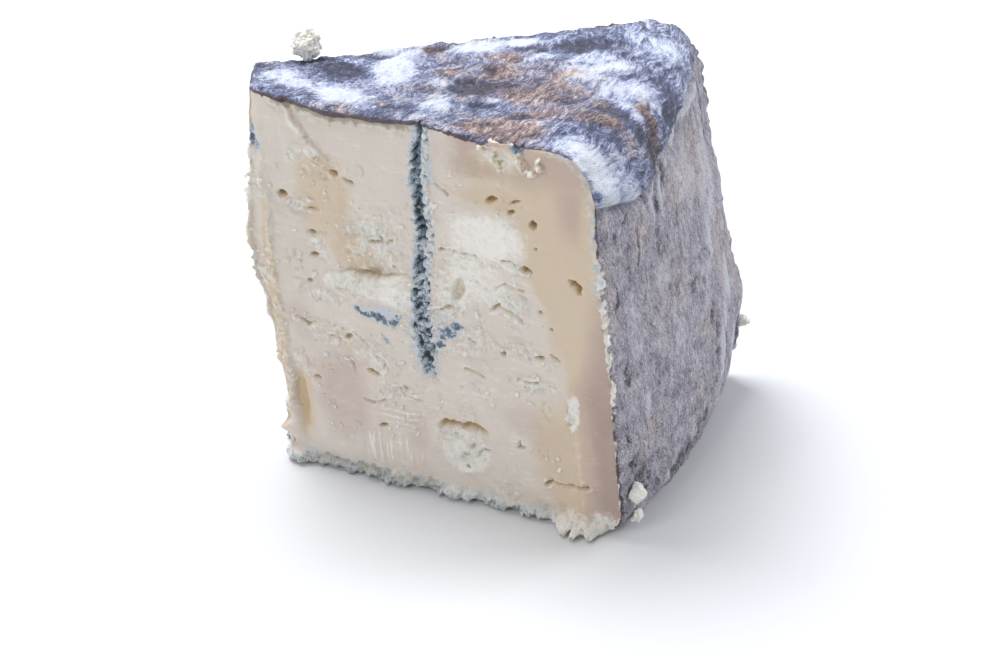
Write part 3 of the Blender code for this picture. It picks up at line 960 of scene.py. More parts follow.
@dataclass
class Rind:
    """The natural rind: hummocks, wrinkles over the shoulder, felt down the side."""

    seed: int = 57
    pale_top: Spots = (
        Spot(-29, 5, 9, 14, 1.05, -8), Spot(-42, -13.5, 14, 5.5, 1, -17), Spot(-64, -3, 8, 6, 0.75),
        Spot(-57, -9, 7, 3.5, 0.8, -17), Spot(-34, 15, 6, 3, 0.9), Spot(-5, 18.5, 12, 5, 1, 17),
        Spot(7, 23, 8, 4, 1, 17), Spot(-12, -19, 5, 7, 0.75, -10), Spot(-13, -5, 4, 3, 0.4),
        Spot(4, -16, 3.5, 1.6, 0.8), Spot(29, 2, 9, 8, 0.60, 30), Spot(41, -6, 12, 8, 0.65, 10),
        Spot(38, 8, 10, 6, 0.70, 10), Spot(30, 12, 8, 5, 0.6, 20), Spot(44, -15, 8, 4, 0.6, -25),
        Spot(50, 24, 9, 9, 0.45, 30), Spot(36, -42, 13, 7.5, 0.92, -24), Spot(47, -37, 8, 8, 0.65),
        Spot(44, -31, 8, 4, 0.45, -15), Spot(60, 6, 3, 14, 0.7, 12), Spot(15, 13, 8, 3, 0.6, 10),
        Spot(42, 30, 7, 4, 0.45),
    )
    ochre_top: Spots = (
        Spot(9, -31.5, 15, 6.5, 1.25, -17), Spot(14, -10, 34, 20, 0.45),
        Spot(-3, -29, 7, 3.5, 0.8, -17), Spot(2, 2, 7, 5, 0.9, 30), Spot(4, 12, 6, 3.5, 0.8, 10),
        Spot(11, -9, 11, 5, 0.95, 5), Spot(-12, 1, 5, 3, 0.7), Spot(23, 1, 8, 3, 0.8, 10),
        Spot(22, -5.5, 5, 1.6, 0.9, 4), Spot(43, 10.5, 7, 3, 0.75, 8), Spot(36, 21.5, 7, 2.6, 0.9, 12),
        Spot(36, -24, 11, 3.2, 0.9, -8), Spot(50, -15, 4, 7, 0.8, 20), Spot(35, -15, 6, 3, 0.7),
        Spot(20, -22, 9, 4.5, 0.55, -10), Spot(-20, 16, 5, 3.5, 0.7, 17),
        Spot(-31, -17, 6, 2.6, 0.8, -17), Spot(34, 37, 12, 2.2, 1, 17), Spot(-9, 22.5, 8, 1.8, 0.8, 17),
    )
    dusk_top: Spots = (
        Spot(-45, 1.3, 9.6, 6.4, 1.25, 2), Spot(40, -29.5, 9, 3.6, 0.9, -10),
        Spot(45, 9, 6, 4, 0.5, 10), Spot(5, -28, 4, 2.4, 0.6, -15), Spot(-3, -7.5, 9, 5.5, 1.3, 12),
        Spot(5, -4.5, 5, 3, 0.9, 14), Spot(-1, 3, 1.8, 3.4, 0.8), Spot(25, 21, 11, 6.5, 1, 14),
        Spot(12, 19.5, 4.2, 4.6, 1.1), Spot(35, 36.5, 10, 1.6, 0.8, 17), Spot(-9, 23, 8, 1.5, 1, 17),
        Spot(-19, 17, 4.6, 2.8, 0.8, 17), Spot(-36, 12, 8, 2.8, 0.95, 12),
        Spot(-53, 8, 10, 2.4, 0.9, 15), Spot(-58.5, 8, 4.5, 2.2, 1.1, 10), Spot(-70, 2, 5, 2, 0.6, 17),
        Spot(42, -20, 12, 3.4, 0.9, -8), Spot(50, -18, 4, 6, 0.9, 25), Spot(56, -2, 4, 16, 0.75, 20),
        Spot(59, 20, 3.5, 12, 0.7, 5), Spot(0, -19, 5, 1.8, 1, 8), Spot(12, -23.5, 6, 2.4, 0.8, -6),
        Spot(-19, -9, 5, 2.6, 0.6, -20), Spot(-12, 7, 8, 2.6, 0.5, 10), Spot(-25, -20, 9, 2, 0.8, -17),
        Spot(25, -15, 8, 3, 0.5, -4), Spot(30, -27, 8, 2.4, 0.5, -8), Spot(6, -38, 2.6, 1.8, 0.7),
        Spot(16.5, -40.5, 2.2, 1.9, 1.3), Spot(54, -36, 4, 6, 0.6),
    )
    cool_top: Spots = (
        Spot(24, 20, 14, 10, 1.2), Spot(46, 20, 16, 22, 1), Spot(-45, 2, 16, 10, 1.1),
        Spot(48, -42, 9, 7, 1), Spot(58, -8, 8, 22, 0.9), Spot(6, -19, 12, 4, 0.8),
    )
    pale_side: Spots = (
        Spot(17.5, 41, 2.4, 5.2, 1.1, 4), Spot(84, 47, 4, 11, 1, 6), Spot(72, 27, 4.2, 11, 1.1, -10),
        Spot(79, 36, 3.2, 6, 0.8, -10), Spot(86, 22, 2.4, 9, 0.9, -12), Spot(67, 74, 4, 9, 0.7),
        Spot(30, 103, 1.5, 6.5, 0.9, 12), Spot(31.5, 109.5, 1.5, 6, 1.2, -12),
        # Spot(70, 118.5) under the crease: a pale band of mould, partly a painted sheen highlight.
        Spot(36.5, 103, 1.4, 9, 1.1, 6), Spot(41, 111, 1.3, 4, 0.8, -20), Spot(70, 118.5, 15, 1.9, 1.2),
        Spot(50, 115.5, 6, 1.4, 0.8, 20), Spot(40, 52, 6, 12, 0.40), Spot(75, 90, 12, 20, 0.50),
        Spot(56, 100, 9, 14, 0.45), Spot(33, 75, 4, 9, 0.35), Spot(26, 60, 4, 8, 0.30),
        Spot(62, 60, 5, 10, 0.40), Spot(44, 14, 3, 4, 0.6, 30), Spot(24, 8, 5, 3, 0.5, 30),
        Spot(12, 70, 4, 12, 0.35), Spot(8, 104, 2, 5, 0.45), Spot(70, 8, 7, 2.6, 0.7),
    )
    ochre_side: Spots = (
        Spot(64, 100, 16, 15, 0.85), Spot(48, 100, 8, 10, 0.7), Spot(60, 44, 8, 8, 0.6),
        Spot(80, 60, 10, 20, 0.6), Spot(22, 96, 8, 8, 0.6), Spot(36, 70, 20, 16, 0.35),
        Spot(18, 31, 8, 5, 0.7), Spot(50, 24, 12, 6, 0.5), Spot(12, 22, 6, 3, 0.7),
        Spot(94, 50, 6, 18, 0.8), Spot(2, 88, 3, 26, 0.5),
    )
    dusk_side: Spots = (
        Spot(7, 103, 2, 9, 0.9), Spot(12, 107.5, 3.6, 2, 0.9), Spot(5.2, 82, 1.7, 6.5, 1.1),
        Spot(6.4, 56.5, 2.2, 5.5, 0.9), Spot(5, 38, 1.4, 6, 0.6), Spot(20.5, 92, 0.9, 11, 0.9),
        Spot(14, 92, 3, 7, 0.4), Spot(33.5, 104, 1.6, 8, 1.1, 4), Spot(40, 108, 1.8, 7, 1.1, 8),
        Spot(27, 106.5, 1.2, 3, 0.9), Spot(76, 108, 1.6, 10, 0.8), Spot(86, 108, 2.4, 14, 0.9),
        Spot(52, 63, 3.4, 2.6, 0.95), Spot(60, 61, 1.3, 4, 0.7), Spot(42, 68, 1.4, 5, 0.5),
        Spot(66, 44, 3, 5, 1, -14), Spot(69, 34, 2.6, 9, 1, -12), Spot(63, 21, 6, 3, 0.9, 20),
        Spot(76, 24, 2, 9, 0.9, -12), Spot(46, 11, 18, 6, 0.8, 10), Spot(30, 7, 14, 5, 0.8),
        Spot(96.5, 17, 4, 6.5, 1.2), Spot(99, 116, 3, 15, 1.3), Spot(8, 24, 4, 6, 1),
        Spot(12, 15, 7, 6, 1.1), Spot(26, 80, 1.2, 8, 0.4), Spot(32, 88, 1.4, 6, 0.5),
        Spot(46, 84, 1.2, 9, 0.45), Spot(24, 48, 1.6, 9, 0.35), Spot(34, 36, 5, 3, 0.35),
    )
    crease_line: tuple[tuple[float, float, float], ...] = (
        (-8, 116.5, 1), (0, 116, 1), (7, 114.5, 1.1), (14, 112, 1.25), (20, 110, 1.3),
        (26, 109.4, 1.3), (30, 110.4, 1.2), (32, 112.6, 1), (35, 114, 0.8), (40, 115.3, 0.7),
        (45, 116.2, 0.6), (51, 118, 0.55), (60, 120.2, 0.5), (70, 121, 0.5), (85, 122, 0.5),
        (95, 125, 0.5), (104, 127, 0.4),
    )
    """The crease under the shoulder: the way round the rim, its height, and how deep it is."""

    def __post_init__(self) -> None:
        """Give the rind its own noise."""
        self.noise = Noise(self.seed)

    def surface(self, points: Array, to_cuts: Array) -> RindMaps:
        """Work the rind out.

        Args:
            points: The vertices on the rind.
            to_cuts: How far each one is from the cut faces.

        Returns:
            Its relief and its growths.
        """
        way_round, way_out, radius = LAYOUT.round_rind(points)
        flank = self.flank(points, way_round, radius)
        pale, ochre, dusk, cool = self.growths(points, way_round, flank)
        edge = np.exp(-to_cuts / 1.3) * (1 - flank)
        dusk = np.maximum(dusk, 0.85 * edge * rise_between(-0.5, 0.3, self.noise.smooth(points, 5)))
        height = (1 - flank) * self.top_relief(points, way_round, way_out, pale, dusk)
        height += flank * self.side_relief(points, way_round, pale, dusk)
        height += self.lip(points, way_round, radius)
        bottom = fall_between(0.2, 2.5, points[:, 2])
        return RindMaps(height * (1 - bottom), pale, ochre, dusk, cool, flank)

    def lip_level(self, way_round: Array) -> Array:
        """The height of the crease under the shoulder, all the way round."""
        return followed(way_round, *((place, height) for place, height, _ in self.crease_line))

    def flank(self, points: Array, way_round: Array, radius: Array) -> Array:
        """1 on the side of the wheel and 0 on its top, changing at the crease."""
        wander = 0.8 * self.noise.fractal(points + 2, 4, 3)
        below = self.lip_level(way_round) + wander - points[:, 2]
        return rise_between(-0.6, 0.9, below) * rise_between(118, 126, radius)

    def growths(self, points: Array, way_round: Array, flank: Array) -> list[Array]:
        """White felt, ochre smear, dark damp patches, and where the dark is blue.

        Args:
            points: The vertices.
            way_round: How far round the rim each one is.
            flank: 1 on the side and 0 on the top.

        Returns:
            The four growths, each from 0 up.
        """
        warp = np.stack([self.noise.fractal(points + 50, 8, 4), self.noise.fractal(points, 8, 4)], 1)
        x, y = points[:, 0] + 4.5 * warp[:, 0], points[:, 1] + 3.0 * warp[:, 1]
        u, z = way_round + 1.8 * warp[:, 0], points[:, 2] + 3.6 * warp[:, 1]
        growths = []
        for on_top, on_side in (
            (self.pale_top, self.pale_side),
            (self.ochre_top, self.ochre_side),
            (self.dusk_top, self.dusk_side),
            (self.cool_top, ()),
        ):
            growths.append((1 - flank) * gathered(on_top, x, y) + flank * gathered(on_side, u, z))
        specks = rise_between(-0.15, 0.35, self.noise.fractal(points + 70, 2.4, 3, 0.6))
        growths[2] = growths[2] * (1 - flank * (1 - 0.35 - 0.95 * specks))
        return growths

    def top_relief(
        self, points: Array, way_round: Array, way_out: Array, pale: Array, dusk: Array
    ) -> Array:
        """Hummocks, fine wrinkles that run out to the rim and turn along it, and sunken patches.

        Args:
            points: The vertices.
            way_round: How far round the rim each one is.
            way_out: How far out from the axis each one is.
            pale: The white felt.
            dusk: The dark patches.

        Returns:
            How far out each one moves.
        """
        hummocks = 0.95 * self.noise.fractal(points, 19, 2) + 0.8 * self.noise.fractal(points, 6.5, 3)
        crumpled = 0.65 * (self.noise.ridged(points, 4.4, 4) - 0.62)
        warp = 3.0 * self.noise.fractal(points + 30, 9, 3)
        along = np.stack([way_round, way_out + warp, way_round * 0], 1)
        round_rim = self.noise.ridged(along, (19, 2.1, 9), 2) - 0.6
        outward = np.stack([points[:, 0], points[:, 1] + warp, way_round * 0], 1)
        to_rim = self.noise.ridged(outward, (15, 2.3, 9), 2) - 0.6
        near_rim = rise_between(106, 124, way_out)
        wrinkles = 1.0 * near_rim * round_rim + 0.75 * (1 - near_rim) * to_rim
        fluff = pale * (0.35 + 0.3 * self.noise.fractal(points, 1.8, 2))
        calm = 1 - 0.65 * np.clip(pale, 0, 1)
        return hummocks + (crumpled + wrinkles) * calm + fluff - 0.55 * dusk

    def side_relief(self, points: Array, way_round: Array, pale: Array, dusk: Array) -> Array:
        """Felt: upright strands, soft dents, and lumps low down.

        Args:
            points: The vertices.
            way_round: How far round the rim each one is.
            pale: The white felt.
            dusk: The dark patches.

        Returns:
            How far out each one moves.
        """
        warp = 2.2 * self.noise.fractal(points + 21, 6, 3)
        upright = np.stack([way_round + warp, points[:, 2] + warp, way_round * 0], 1)
        strands = 0.42 * self.noise.fractal(upright, (2, 8, 9), 4, 0.7)
        dents = 0.65 * self.noise.fractal(points, 12, 3)
        puckers = 0.45 * (self.noise.ridged(upright, (4.2, 9, 9), 3) - 0.65)
        low = fall_between(10, 20, points[:, 2])
        lumps = low * 1.1 * self.noise.fractal(points + 3, 5, 3)
        return strands + dents + puckers + lumps + 0.5 * pale - 0.6 * dusk

    def lip(self, points: Array, way_round: Array, radius: Array) -> Array:
        """The fold of top rind that hangs over the shoulder, the crease under it, and crusts.

        Args:
            points: The vertices.
            way_round: How far round the rim each one is.
            radius: How far from the axis each one is.

        Returns:
            How far out each one moves.
        """
        strength = followed(way_round, *((place, depth) for place, _, depth in self.crease_line))
        strength = strength * rise_between(120, 134, radius)
        wander = 0.8 * self.noise.fractal(points + 2, 4, 3)
        below = self.lip_level(way_round) + wander - points[:, 2]
        fold = bell(below, -4.6, 4.6) * rise_between(0.9, -0.9, below)
        crease = bell(below, 0.9, 1.5)
        nose = Spot(17, 117, 16, 9).soft(way_round, points[:, 2]) * rise_between(1.2, -1, below)
        crusts = (Spot(99.5, 116, 4, 15), Spot(97, 17, 4, 6))
        crust = gathered(crusts, way_round, points[:, 2])
        lumpy = 1.0 + 1.2 * self.noise.fractal(points + 9, 5, 3)
        return strength * (1.9 * fold - 1.7 * crease) + 1.3 * nose + 1.7 * crust * lumpy


# --- Meshes ---


def deselect() -> None:
    """Leave edit mode with nothing selected."""
    if bpy.context.object and bpy.context.object.mode != "OBJECT":
        bpy.ops.object.mode_set(mode="OBJECT")
    bpy.ops.object.select_all(action="DESELECT")


def activate(piece: bpy.types.Object) -> None:
    """Select only this piece and make it active."""
    deselect()
    piece.select_set(True)
    bpy.context.view_layer.objects.active = piece


def modify(piece: bpy.types.Object, kind: str, **settings: Any) -> None:
    """Add a modifier and apply it.

    Args:
        piece: The mesh object.
        kind: The modifier's type.
        settings: Its properties.
    """
    activate(piece)
    modifier = piece.modifiers.new(kind.lower(), kind)
    for name, value in settings.items():
        setattr(modifier, name, value)
    bpy.ops.object.modifier_apply(modifier=modifier.name)


def copied_solid(node: str, name: str) -> bpy.types.Object:
    """A closed copy of a CAD node's mesh, for shaping.

    Args:
        node: The CAD node.
        name: The new object's name.

    Returns:
        The new object, with its doubled vertices merged.
    """
    piece = bpy.data.objects.new(name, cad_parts[node].data.copy())
    bpy.context.scene.collection.objects.link(piece)
    piece.data.materials.clear()
    activate(piece)
    bpy.ops.object.mode_set(mode="EDIT")
    bpy.ops.mesh.select_all(action="SELECT")
    bpy.ops.mesh.remove_doubles(threshold=1e-6)
    bpy.ops.object.mode_set(mode="OBJECT")
    return piece


def points_of(mesh: bpy.types.Mesh) -> Array:
    """The vertices' places, in millimetres."""
    places = np.empty(len(mesh.vertices) * 3, np.float32)
    mesh.vertices.foreach_get("co", places)
    return places.reshape(-1, 3).astype(np.float64) / MM


def set_points(mesh: bpy.types.Mesh, points: Array) -> None:
    """Write the vertices' places, given in millimetres."""
    mesh.vertices.foreach_set("co", (points * MM).astype(np.float32).ravel())
    mesh.update()


def normals_of(mesh: bpy.types.Mesh) -> Array:
    """The vertices' smooth normals."""
    normals = np.empty(len(mesh.vertices) * 3, np.float32)
    mesh.vertices.foreach_get("normal", normals)
    return normals.reshape(-1, 3).astype(np.float64)


def store(mesh: bpy.types.Mesh, name: str, values: Array) -> None:
    """Keep a number, a vector or a colour with alpha for each vertex.

    Args:
        mesh: The mesh.
        name: The attribute's name, which a material reads.
        values: One number, three or four for each vertex.
    """
    width = 1 if values.ndim == 1 else values.shape[1]
    kind, key = {1: ("FLOAT", "value"), 3: ("FLOAT_VECTOR", "vector"), 4: ("FLOAT_COLOR", "color")}[width]
    attribute = mesh.attributes.new(name, kind, "POINT")
    attribute.data.foreach_set(key, np.ascontiguousarray(values, np.float32).ravel())


class Surroundings:
    """Finds how far a point is from each kind of face of the plain wedge."""

    def __init__(self, solid: bpy.types.Object) -> None:
        """Sort the solid's faces by the way they look.

        Args:
            solid: The plain wedge.
        """
        mesh = solid.data
        corners = [vertex.co.copy() for vertex in mesh.vertices]
        groups: dict[Face, list] = {face: [] for face in Face}
        outward = {face: LAYOUT.outward(face) for face in Face if face is not Face.RIND}
        for polygon in mesh.polygons:
            normal = np.array(polygon.normal)
            best = max(outward, key=lambda face: float(outward[face] @ normal))
            flat = outward[best] @ normal > 0.86
            groups[best if flat else Face.RIND].append(tuple(polygon.vertices))
        self.trees = {face: BVHTree.FromPolygons(corners, faces) for face, faces in groups.items()}

    def distances(self, face: Face, points: Array, reach: float) -> Array:
        """How far each point is from the nearest place on one kind of face.

        Args:
            face: The kind of face.
            points: The points, in millimetres.
            reach: Distances over this are given as this.

        Returns:
            The distances, in millimetres.
        """
        tree, limit = self.trees[face], reach * MM
        found = np.full(len(points), reach, np.float32)
        for index, place in enumerate(points * MM):
            distance = tree.find_nearest(place, limit)[3]
            if distance is not None:
                found[index] = distance / MM
        return found


# --- Shader nodes ---


class Socket:
    """A shader output that Python arithmetic can work on."""

    def __init__(self, graph: "Graph", socket: bpy.types.NodeSocket) -> None:
        """Wrap an output.

        Args:
            graph: The graph that it belongs to.
            socket: The output.
        """
        self.graph, self.socket = graph, socket

    def _math(self, operation: str, first: Any, second: Any) -> "Socket":
        """A Math node on two values."""
        return self.graph.node("Math", {"operation": operation}, {0: first, 1: second})

    def __add__(self, other: Any) -> "Socket":
        """This plus other."""
        return self._math("ADD", self, other)

    def __radd__(self, other: Any) -> "Socket":
        """Other plus this."""
        return self._math("ADD", other, self)

    def __sub__(self, other: Any) -> "Socket":
        """This minus other."""
        return self._math("SUBTRACT", self, other)

    def __rsub__(self, other: Any) -> "Socket":
        """Other minus this."""
        return self._math("SUBTRACT", other, self)

    def __mul__(self, other: Any) -> "Socket":
        """This times other."""
        return self._math("MULTIPLY", self, other)

    def __rmul__(self, other: Any) -> "Socket":
        """Other times this."""
        return self._math("MULTIPLY", other, self)

    def size(self) -> "Socket":
        """This without its sign."""
        return self._math("ABSOLUTE", self, 0.0)

    def at_most(self, other: Any) -> "Socket":
        """The smaller of the two."""
        return self._math("MINIMUM", self, other)

    def at_least(self, other: Any) -> "Socket":
        """The larger of the two."""
        return self._math("MAXIMUM", self, other)

    def rising(self, low: float, high: float) -> "Socket":
        """0 below low, 1 above high, and a smooth rise between them. Low may be the larger."""
        if low > high:
            return 1 - self.rising(high, low)
        settings = {"interpolation_type": "SMOOTHSTEP"}
        values = {"Value": self, "From Min": low, "From Max": high, "To Min": 0.0, "To Max": 1.0}
        return self.graph.node("MapRange", settings, values)


class Graph:
    """The node tree of one material."""

    def __init__(self, name: str) -> None:
        """Start a new material with an empty tree.

        Args:
            name: The material's name.
        """
        self.material = bpy.data.materials.new(name)
        self.material.use_nodes = True
        self.tree = self.material.node_tree
        self.tree.nodes.clear()

    def node(
        self, kind: str, settings: dict | None = None, inputs: dict | None = None, output: Any = 0
    ) -> Socket:
        """Add a node.

        Args:
            kind: Its type, without the ShaderNode in front.
            settings: Properties to set first. "stops" fills a colour ramp.
            inputs: What goes into its sockets, by name or number: a Socket or a plain value.
            output: The name or number of the output to hand back.

        Returns:
            The output.
        """
        made = self.tree.nodes.new("ShaderNode" + kind)
        for name, value in (settings or {}).items():
            if name == "stops":
                self._fill_ramp(made.color_ramp, value)
            else:
                setattr(made, name, value)
        for name, value in (inputs or {}).items():
            if isinstance(value, Socket):
                self.tree.links.new(value.socket, made.inputs[name])
            elif hasattr(value, "__len__") and len(made.inputs[name].default_value) == 4:
                made.inputs[name].default_value = (*value, 1.0)[:4]
            else:
                made.inputs[name].default_value = value
        return Socket(self, made.outputs[output])

    @staticmethod
    def _fill_ramp(ramp: bpy.types.ColorRamp, stops: list) -> None:
        """Set a colour ramp's stops from (place, colour) pairs."""
        while len(ramp.elements) < len(stops):
            ramp.elements.new(0.5)
        for element, (place, colour) in zip(ramp.elements, stops):
            element.position, element.color = place, (*colour, 1.0)

    def attribute(self, name: str, output: str = "Fac") -> Socket:
        """A number or a vector that the mesh carries."""
        return self.node("Attribute", {"attribute_name": name}, output=output)

    def channels(self, name: str) -> tuple[Socket, Socket, Socket, Socket]:
        """The red, green, blue and alpha numbers that the mesh carries under one name."""
        made = self.tree.nodes.new("ShaderNodeAttribute")
        made.attribute_name = name
        split = self.tree.nodes.new("ShaderNodeSeparateColor")
        self.tree.links.new(made.outputs["Color"], split.inputs[0])
        colours = (Socket(self, split.outputs[index]) for index in range(3))
        return (*colours, Socket(self, made.outputs["Alpha"]))

    def place(self, scale: float | tuple[float, float, float] = 1.0) -> Socket:
        """The point on the piece, in millimetres divided by scale.

        Args:
            scale: One size, or one for each axis.

        Returns:
            The scaled point.
        """
        objects = self.node("TexCoord", output="Object")
        sizes = (scale,) * 3 if isinstance(scale, (int, float)) else scale
        values = {"Vector": objects, "Scale": tuple(1 / (MM * size) for size in sizes)}
        return self.node("Mapping", {}, values)

    def noise(self, vector: Socket, scale: float, detail: float = 3.0, rough: float = 0.55) -> Socket:
        """Noise from 0 to 1."""
        values = {"Vector": vector, "Scale": scale, "Detail": detail, "Roughness": rough}
        return self.node("TexNoise", {}, values)

    def ramp(self, factor: Socket, stops: list[tuple[float, tuple]]) -> Socket:
        """A colour looked up between stops."""
        return self.node("ValToRGB", {"stops": stops}, {0: factor})

    def mix(self, factor: Any, first: Any, second: Any) -> Socket:
        """Two colours mixed by a factor."""
        settings = {"data_type": "RGBA", "clamp_factor": True}
        return self.node("Mix", settings, {"Factor": factor, 6: first, 7: second}, output=2)

    def finish(self, shader: Socket) -> bpy.types.Material:
        """Send the shader to the output."""
        out = self.tree.nodes.new("ShaderNodeOutputMaterial")
        self.tree.links.new(shader.socket, out.inputs["Surface"])
        return self.material


@dataclass(frozen=True)
class PasteFinish:
    """Blue cheese paste: ivory core, cream under the rind, rosy at the very edge, blue in cracks, with
    painted shade in its hollows and at its foot.
    """

    core: Colour = (0.72, 0.655, 0.585)
    curd_white: Colour = (0.90, 0.875, 0.815)
    cream: Colour = (0.69, 0.57, 0.435)
    rosy: Colour = (0.525, 0.40, 0.345)
    rosy_deep: Colour = (0.34, 0.262, 0.222)
    olive: Colour = (0.33, 0.29, 0.20)
    # Yellow-brown of holes and recesses: partly their own tint, partly painted shade.
    hollow: Colour = (0.50, 0.335, 0.125)
    mould_dark: Colour = (0.085, 0.112, 0.145)
    mould_mid: Colour = (0.155, 0.225, 0.315)
    mould_pale: Colour = (0.60, 0.67, 0.73)
    # Blue-grey of the foot: partly pressed crumbs, partly painted shade near the floor.
    foot: Colour = (0.60, 0.635, 0.65)
    # Near-black for the very bottom edge: painted contact shade.
    dirt: Colour = (0.10, 0.11, 0.12)

    def colour(self, graph: Graph, place: Socket) -> Socket:
        """The paste's colour, from the maps on the mesh and fine noise.

        Args:
            graph: The material.
            place: The point, in millimetres.

        Returns:
            The colour.
        """
        crumbly, blue, hollow, foot = graph.channels("paste_map")
        cream, rosy, olive, white = graph.channels("paste_tone")
        broad = graph.noise(place, 0.06, 4.0)
        fine = graph.noise(place, 0.55, 5.0, 0.65)
        grain = graph.noise(place, 1.6, 3.0, 0.6)
        cloudy = (broad - 0.5) * 0.9
        colour = graph.mix((cream + cloudy).rising(0.15, 0.85), self.core, self.cream)
        colour = graph.mix((rosy + cloudy * 0.5).rising(0.10, 0.95) * 0.9, colour, self.rosy)
        colour = graph.mix((rosy + cloudy * 0.15).rising(0.70, 1.15) * 0.75, colour, self.rosy_deep)
        curd = (white * 0.85 + crumbly * 0.95 + (fine - 0.5) * 1.3).rising(0.25, 0.95)
        colour = graph.mix(curd * 0.92, colour, self.curd_white)
        smears = graph.noise(graph.place((2.6, 2.6, 1.0)), 0.42, 5.0, 0.7)
        dabs = smears.rising(0.54, 0.70) * 0.45 * (1 - rosy.at_least(cream))
        colour = graph.mix(dabs, colour, self.curd_white)
        colour = graph.mix(smears.rising(0.46, 0.30) * 0.35, colour, self.cream)
        # Recesses tinted yellow-brown and darkened: painted shade, with some real tint.
        tint = (hollow + (grain - 0.5) * 0.35).rising(0.15, 0.95)
        colour = graph.mix(tint * 0.9, colour, self.hollow)
        green = (olive + (fine - 0.5) * 1.5).rising(0.35, 1.0)
        colour = graph.mix(green * 0.8, colour, self.olive)
        # Blue-grey at the foot, partly painted shade, then near-black painted contact shade at the very
        # bottom.
        colour = graph.mix((foot + (fine - 0.5) * 1.6).rising(0.25, 1.0) * 0.8, colour, self.foot)
        dirt = (foot + (grain - 0.5) * 1.8).rising(0.95, 1.35)
        colour = graph.mix(dirt * 0.8, colour, self.dirt)
        return self.moulded(graph, colour, blue, hollow, place)

    def moulded(self, graph: Graph, colour: Socket, blue: Socket, hollow: Socket, place: Socket) -> Socket:
        """Blue mould over a colour: pale powder, then granules, then dark in the depth, where the dark is
        partly painted shade.

        Args:
            graph: The material.
            colour: What lies under the mould.
            blue: How much mould there is.
            hollow: How deep the place is.
            place: The point, in millimetres.

        Returns:
            The colour.
        """
        spread = graph.noise(place, 0.8, 5.0, 0.7)
        specks = graph.noise(place, 1.9, 3.0, 0.7)
        level = blue + (spread - 0.5) * 0.9
        colour = graph.mix(level.rising(0.14, 0.50) * 0.85, colour, self.mould_pale)
        granules = (level + (specks - 0.5) * 1.1).rising(0.48, 0.85)
        colour = graph.mix(granules * 0.9, colour, self.mould_mid)
        # Mould darkest deep in recesses: partly painted shade.
        deep = (blue * hollow * 1.15 + (specks - 0.5) * 0.8).rising(0.40, 0.85)
        colour = graph.mix(deep, colour, self.mould_dark)
        stains = (level + (specks - 0.5) * 1.6).rising(0.90, 1.20)
        return graph.mix(stains * 0.7, colour, self.mould_dark)

    def shader(self, graph: Graph) -> Socket:
        """The paste's surface."""
        crumbly, blue, _, _ = graph.channels("paste_map")
        place = graph.place()
        grain = graph.noise(place, 1.35, 4.0, 0.65)
        curd = graph.node("TexVoronoi", {"feature": "F1"}, {"Vector": place, "Scale": 0.95})
        rough_height = grain * 0.6 + (1 - curd) * 0.5
        calm = graph.noise(graph.place((1.0, 1.0, 4.0)), 0.8, 4.0, 0.65)
        flakes = graph.noise(graph.place((3.0, 3.0, 1.0)), 0.5, 5.0, 0.7)
        height = rough_height * (crumbly.at_least(blue) * 1.15 + 0.12) + calm * 0.12 + flakes * 0.35
        bump = graph.node("Bump", {}, {"Strength": 0.9, "Distance": 0.0009, "Height": height})
        roughness = 0.46 + crumbly * 0.25 + (grain - 0.5) * 0.22
        values = {
            "Base Color": self.colour(graph, place),
            "Roughness": roughness,
            "Normal": bump,
            "Subsurface Weight": 0.50,
            "Subsurface Radius": (1.0, 0.74, 0.48),
            "Subsurface Scale": 0.0022,
            "Specular IOR Level": 0.42,
        }
        return graph.node("BsdfPrincipled", {}, values)


COOL_TOP = [
    (0.16, (0.038, 0.040, 0.075)), (0.34, (0.105, 0.120, 0.225)), (0.45, (0.235, 0.27, 0.435)),
    (0.55, (0.45, 0.495, 0.68)), (0.65, (0.67, 0.72, 0.86)), (0.80, (0.86, 0.90, 0.97)),
]
WARM_TOP = [
    (0.16, (0.045, 0.034, 0.042)), (0.34, (0.12, 0.085, 0.098)), (0.46, (0.265, 0.185, 0.185)),
    (0.57, (0.48, 0.355, 0.32)), (0.70, (0.72, 0.61, 0.585)), (0.85, (0.87, 0.81, 0.78)),
]
COOL_SIDE = [
    (0.12, (0.045, 0.042, 0.055)), (0.30, (0.165, 0.15, 0.18)), (0.43, (0.35, 0.325, 0.385)),
    (0.55, (0.51, 0.475, 0.55)), (0.67, (0.66, 0.63, 0.71)), (0.84, (0.84, 0.85, 0.94)),
]
WARM_SIDE = [
    (0.12, (0.055, 0.042, 0.040)), (0.30, (0.19, 0.15, 0.145)), (0.43, (0.41, 0.335, 0.345)),
    (0.55, (0.60, 0.515, 0.525)), (0.67, (0.75, 0.675, 0.69)), (0.84, (0.86, 0.82, 0.83)),
]


